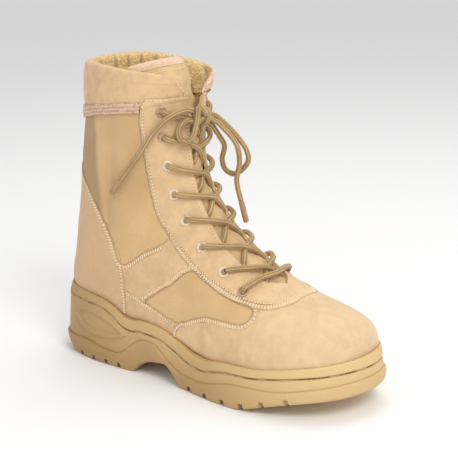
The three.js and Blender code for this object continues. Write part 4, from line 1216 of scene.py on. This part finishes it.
def pushed_out(points, held, every, along, most):
    """How far a padded piece's points move when its filling presses from inside. A coarse copy of
    the ring of points, every so many columns and along so many rows, is a simulated cloth, held where
    held is true. No point moves more than most millimetres."""
    rows_kept = np.arange(0, points.shape[0], along)
    columns_kept = np.unique(np.append(np.arange(0, points.shape[1], every), points.shape[1] - 1))
    coarse = points[rows_kept][:, columns_kept].transpose(1, 0, 2)
    pinned = held[rows_kept][:, columns_kept].T.ravel()
    mesh = bpy.data.meshes.new("cloth_copy")
    start = coarse.reshape(-1, 3) / 1000
    mesh.from_pydata(start.tolist(), [], grid_faces(len(columns_kept), len(rows_kept), close=True).tolist())
    copy = bpy.data.objects.new("cloth_copy", mesh)
    bpy.context.collection.objects.link(copy)
    tidy(copy)
    copy.vertex_groups.new(name="held").add(np.where(pinned)[0].tolist(), 1.0, "REPLACE")
    cloth = copy.modifiers.new("cloth", "CLOTH")
    cloth.settings.vertex_group_mass = "held"
    cloth.settings.use_pressure = True
    cloth.settings.uniform_pressure_force = 60
    cloth.settings.tension_stiffness = cloth.settings.compression_stiffness = 15
    cloth.settings.bending_stiffness = 0.5
    cloth.settings.effector_weights.gravity = 0
    cloth.point_cache.frame_start, cloth.point_cache.frame_end = 1, CLOTH_FRAMES
    for frame_number in range(1, CLOTH_FRAMES + 1):
        bpy.context.scene.frame_set(frame_number)
    baked = copy.evaluated_get(bpy.context.evaluated_depsgraph_get()).data
    stop = np.empty(len(start) * 3)
    baked.vertices.foreach_get("co", stop)
    moved = (stop.reshape(-1, 3) - start) * 1000
    bpy.context.scene.frame_set(1)
    bpy.data.objects.remove(copy)
    length = np.linalg.norm(moved, axis=1, keepdims=True)
    moved *= np.minimum(1, most / np.maximum(length, 1e-9))
    moved = moved.reshape(len(columns_kept), len(rows_kept), 3).transpose(1, 0, 2)
    all_columns = np.arange(points.shape[1])
    wide = np.stack([
        [np.interp(all_columns, columns_kept, row[:, axis]) for row in moved] for axis in range(3)
    ], -1)
    rows_round = np.append(rows_kept, points.shape[0])
    looped = np.concatenate([wide, wide[:1]])
    at = np.arange(points.shape[0])
    i = np.searchsorted(rows_round, at, side="right") - 1
    f = ((at - rows_round[i]) / (rows_round[i + 1] - rows_round[i]))[:, None, None]
    return looped[i] * (1 - f) + looped[i + 1] * f


round_share = np.linspace(0, 1, COLLAR_COLUMNS)
k, u = np.broadcast_arrays(collar_loop[:, :1], round_share[None])
out = np.broadcast_to(collar_loop[:, 1:], k.shape).copy()
# Foam swells and sags a little all round, and the lining gathers into upright folds.
flat_in = smoothstep(-out, 4, 7)
up_bell = np.sin(np.pi * np.clip(k, 0, 1))
out += (1 - flat_in) * 0.45 * np.sin(31 * u + 2.2 * np.sin(9 * u)) * up_bell * np.sin(5 * u + 1.3)
dent = np.exp(-((k - 0.55 - 0.1 * np.sin(7 * u)) / 0.05) ** 2) * smoothstep(np.sin(8 * u + 0.6), 0.2, 1)
out -= (1 - flat_in) * 0.5 * dent
gather = np.abs(np.sin(34 * u + 2 * np.sin(9 * u) + 0.5 * k)) ** 0.6
out += flat_in * (2.6 * gather - 1.6) * up_bell**0.5
# Where the lining is painted darker, as painted shade in the troughs of its folds.
folds = flat_in * (1 - smoothstep(gather, 0.25, 0.75)) * smoothstep(k, 0.1, 0.5)
points = collar_point(k, u, out)
# The foam pushes the suede and the lining out between the seams.
held_there = (k < 0.1) | (u < 0.012) | (u > 0.988)
points = points + pushed_out(points, held_there, 5, 3, 0.9)
# Both front ends close in a rounded edge.
far = run_along(points.mean(0))
from_end = np.minimum(far, far[-1] - far)
pinch = np.sqrt(np.clip(1 - (1 - np.clip(from_end / 1.5, 0, 1)) ** 2, 0.2, 1))
pinch *= 0.34 + 0.66 * smoothstep(from_end, 0, 22)
nearest_core = (points + points[::-1]) / 2
points = nearest_core + (points - nearest_core) * pinch[None, :, None]
points = points.transpose(1, 0, 2)
count = len(collar_loop)
collar_faces = grid_faces(COLLAR_COLUMNS, count, close=True)
all_faces = collar_faces.tolist() + end_faces(COLLAR_COLUMNS, count)
# Which look a face has: suede outside, lining inside, and binding round the inner front edge.
lined = np.isin(collar_faces[:, 0] % count, np.where(collar_loop[:, 1] < -3.6)[0]).astype(int)
lined[collar_faces[:, 0] // count > COLLAR_COLUMNS - 4] = 2
lined = np.concatenate([lined, [0, 2]])

collar_suede, collar_shader, collar_here = finish("collar suede", 0.92, 0.3)
collar_colour, collar_nap, collar_brushed = suede_look(collar_here, (0.745, 0.505, 0.28), (0.57, 0.37, 0.195))
paint(collar_shader, collar_colour, bumped(collar_nap * 0.13 + collar_brushed * 0.6, 0.0012))
binding_look, binding_shader, binding_here = finish("pink binding", 0.85, 0.25)
paint(binding_shader, mixed(
    noise(binding_here, 420, 3).between(0.3, 0.7), (0.62, 0.39, 0.27), (0.82, 0.59, 0.42)))
collar_looks = [collar_suede, lining_look, binding_look]
collar = piece(
    "collar-pad", points, all_faces, collar_looks, which=lined, values={"fold_shade": folds.T},
)
tidy(collar)
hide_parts("collar")

tape_look, tape_shader, tape_here = finish("woven tape", 0.85, 0.2)
tape_rows = tape_here.node("ShaderNodeUVMap", {"uv_map": "cloth"}, {}).part(1)
tape_lines = tape_rows.maths("SINE", tape_rows * 18.8) * 0.5 + 0.5
tape_shade = (tape_lines * 0.2 + noise(tape_here, 420, 3) * 0.9).between(0.3, 0.75)
paint(tape_shader, mixed(tape_shade, (0.42, 0.26, 0.18), (0.74, 0.51, 0.365)), bumped(tape_lines, 0.0004))
TAPE_BOTTOM = np.array([(-140, 206.5), (-120, 207), (-79, 215.5), (-43, 219), (0, 221)])
TAPE_TOP = np.array([(-140, 217.5), (-120, 218), (-79, 224), (-43, 228), (0, 229)])
TAPE_SECTION = [(0, 0.5), (0, 1.4), (0.1, 1.75), (0.5, 1.9), (0.9, 1.95), (1, 1.6), (1, 0.9)]
tape_end = net_a[np.argmin((net[:, 0] + 41.5) ** 2 + (net[:, 2] - 222) ** 2)]
TAPE_COLUMNS = 420
tape_turn = np.linspace(tape_end, 2 * np.pi - tape_end, TAPE_COLUMNS)


def below_tape(t, share):
    """Whether the last at these stations lies under a share of the tape's width."""
    x, _, z = last(t, tape_turn).T
    return z < (1 - share) * height_at(TAPE_BOTTOM, x) + share * height_at(TAPE_TOP, x)


tape_points = []
for share_up, out in TAPE_SECTION:
    t = halved(lambda t: below_tape(t, share_up), SHAFT_LOW, SHAFT_HIGH, TAPE_COLUMNS)
    tape_points.append(off_last(t, tape_turn, out))
tape_uv = np.stack(np.broadcast_arrays(
    np.arange(float(TAPE_COLUMNS))[:, None], np.array(TAPE_SECTION)[None, :, 0]), -1)
tape_faces = grid_faces(TAPE_COLUMNS, len(TAPE_SECTION))
tape = piece("collar-tape", np.stack(tape_points, 1), tape_faces, [tape_look], uv=tape_uv)
tidy(tape)

TAB_LINE = [(-38.5, 224), (-37.4, 228), (-34, 229.3), (-26, 229.5), (-18, 229.6)]


def level_row(points, side, out):
    """Stitches through points (x, z) of the shaft's front, on the given side."""
    path = smooth_path(points, 2.7)
    near = np.array([np.argmin(((net[:, [0, 2]] - p) ** 2).sum(1)) for p in path])
    spot = net_t[near], side * net_a[near]
    middle, normal = last(*spot), last_normal(*spot)
    if side < 0:
        middle = middle + collar_flare(net_a[near], np.clip((middle[:, 2] - 228) / 30, 0, 1))
    return middle + normal * out, unit(np.gradient(middle, axis=0)), normal, 1.0, 0.3


stitches("collar-stitches", [
    level_row(TAB_LINE, 1, 1.75), level_row(TAB_LINE, -1, 1.75),
    level_row([(-16.2, 233), (-17.5, 238), (-18.5, 243)], 1, 1.6),
])


# ---- Tongue: padded nylon behind the throat, sewn in below it and bound along its top edge. Its
# inner edge is free and set back, so that the shaft's mouth shows past it.

# Turns that the tongue's edges reach at stations of the last, and how far its top is set back.
REACH_BELOW = [(4.7, 0.62), (7, 0.72), (10, 0.78), (12.5, 0.85)]
TONGUE_REACH = np.array([*REACH_BELOW, (14.5, 1.15), (15.6, 1.4), (16.6, 1.5)])
TONGUE_REACH_MEDIAL = np.array([*REACH_BELOW, (14.5, 0.85), (16.6, 0.8)])
TONGUE_SETBACK = np.array([(13.2, 0), (14.3, 5.6), (15.2, 10), (15.9, 17), (16.6, 24)])
TONGUE_TOP = np.array([(-72, 250), (-58, 253.5), (-45, 257.5), (-34, 260), (-20, 261)])
TONGUE_ROWS, TONGUE_COLUMNS, TONGUE_THICK = 230, 90, 5


def tongue_point(t, v, down):
    """A point of the tongue: v is -1 to 1 across it, and down its depth under its face."""
    setback = height_at(TONGUE_SETBACK, t)
    even = 5.6
    bowed = np.maximum(setback - even, 0) * np.where(v < 0, 1, 1 - v * v)
    depth = WALL + 1.7 + np.minimum(setback, even) + bowed
    reach = np.where(v < 0, height_at(TONGUE_REACH_MEDIAL, t), height_at(TONGUE_REACH, t))
    return off_last(t, v * reach, -depth - down)


across_share = np.sin(np.linspace(-0.5, 0.5, TONGUE_COLUMNS) * np.pi)


def below_tongue_top(t):
    p = tongue_point(t, across_share, TONGUE_THICK / 2)
    return p[:, 2] < height_at(TONGUE_TOP, p[:, 0]) - 0.4


TONGUE_FOOT, TONGUE_LENGTH = 4.75, 235  # a station, and mm
tongue_end = halved(below_tongue_top, SHAFT_LOW, SHAFT_HIGH, TONGUE_COLUMNS)
up_share = np.linspace(0, 1, TONGUE_ROWS)[:, None]
tongue_t = TONGUE_FOOT + (tongue_end - TONGUE_FOOT) * up_share
tongue_v = np.broadcast_to(across_share, tongue_t.shape)
to_top = (1 - up_share) * TONGUE_LENGTH
to_end = np.clip(np.minimum(to_top, up_share * TONGUE_LENGTH) / 2.6, 0, 1)
round_end = np.sqrt(np.clip(1 - (1 - to_end) ** 2, 0.01, 1))
thick = TONGUE_THICK * np.sqrt(np.clip(1 - np.abs(tongue_v) ** 8, 0.01, 1)) * round_end
# Padding puffs up between cross rows of quilting, and its surface is a little uneven.
quilt = np.sin(tongue_t * 6.2 + 0.8 * np.sin(5 * tongue_v))
puff = 1.5 * round_end * (1 - tongue_v**8) * (0.55 + 0.45 * quilt)
puff += 0.35 * np.sin(tongue_v * 9 + 1.7 * tongue_t) * np.sin(tongue_t * 9.3 + 2 * tongue_v) * round_end
face_points = tongue_point(tongue_t, tongue_v, (TONGUE_THICK - thick) / 2 - puff)
back_points = tongue_point(tongue_t, tongue_v, (TONGUE_THICK + thick) / 2)
tongue_points = np.concatenate([face_points, back_points[:, ::-1]], axis=1).transpose(1, 0, 2)
held_there = (np.abs(tongue_v) > 0.93) | (quilt < -0.97) | (to_top < 5.5)
held_there = np.concatenate([held_there, held_there[:, ::-1]], axis=1).T
tongue_points = (tongue_points + pushed_out(tongue_points, held_there, 3, 4, 0.8)).transpose(1, 0, 2)
tongue_top = np.broadcast_to(to_top, tongue_points.shape[:2])

tongue_look, tongue_shader, tongue_here = finish("tongue nylon", 0.9, 0.25)
tongue_cloth = mixed(noise(tongue_here, 60, 4).between(0.3, 0.75), (0.56, 0.375, 0.18), (0.76, 0.53, 0.27))
tongue_binding = mixed(noise(tongue_here, 380, 3), (0.60, 0.40, 0.265), (0.86, 0.64, 0.46))
bound = 1 - tongue_here.carried("from_top").between(4.4, 4.7)
tongue_height = noise(tongue_here, 1100, 2) * 0.25 + bound
paint(tongue_shader, mixed(bound, tongue_cloth, tongue_binding), bumped(tongue_height, 0.0006))
tongue_faces = grid_faces(TONGUE_ROWS, 2 * TONGUE_COLUMNS, close=True).tolist()
tongue_faces += end_faces(TONGUE_ROWS, 2 * TONGUE_COLUMNS)
tongue = piece(
    "tongue-pad", tongue_points, tongue_faces, [tongue_look],
    values={"from_top": tongue_top},
)
tidy(tongue)
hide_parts("tongue")

# One row of stitches holds the binding.
row = face_points[-8, 6:-6]
far = run_along(row)
at = np.arange(1.5, far[-1], 2.6)
middle = np.stack([np.interp(at, far, row[:, k]) for k in range(3)], -1)
ahead = unit(np.gradient(middle, axis=0))
outwards = np.cross(ahead, (0, 0, 1))
outwards = unit(outwards * np.sign(outwards[:, :1]))
stitches("tongue-stitches", [(middle + outwards * 0.1, ahead, outwards, 1.0, 0.32)])
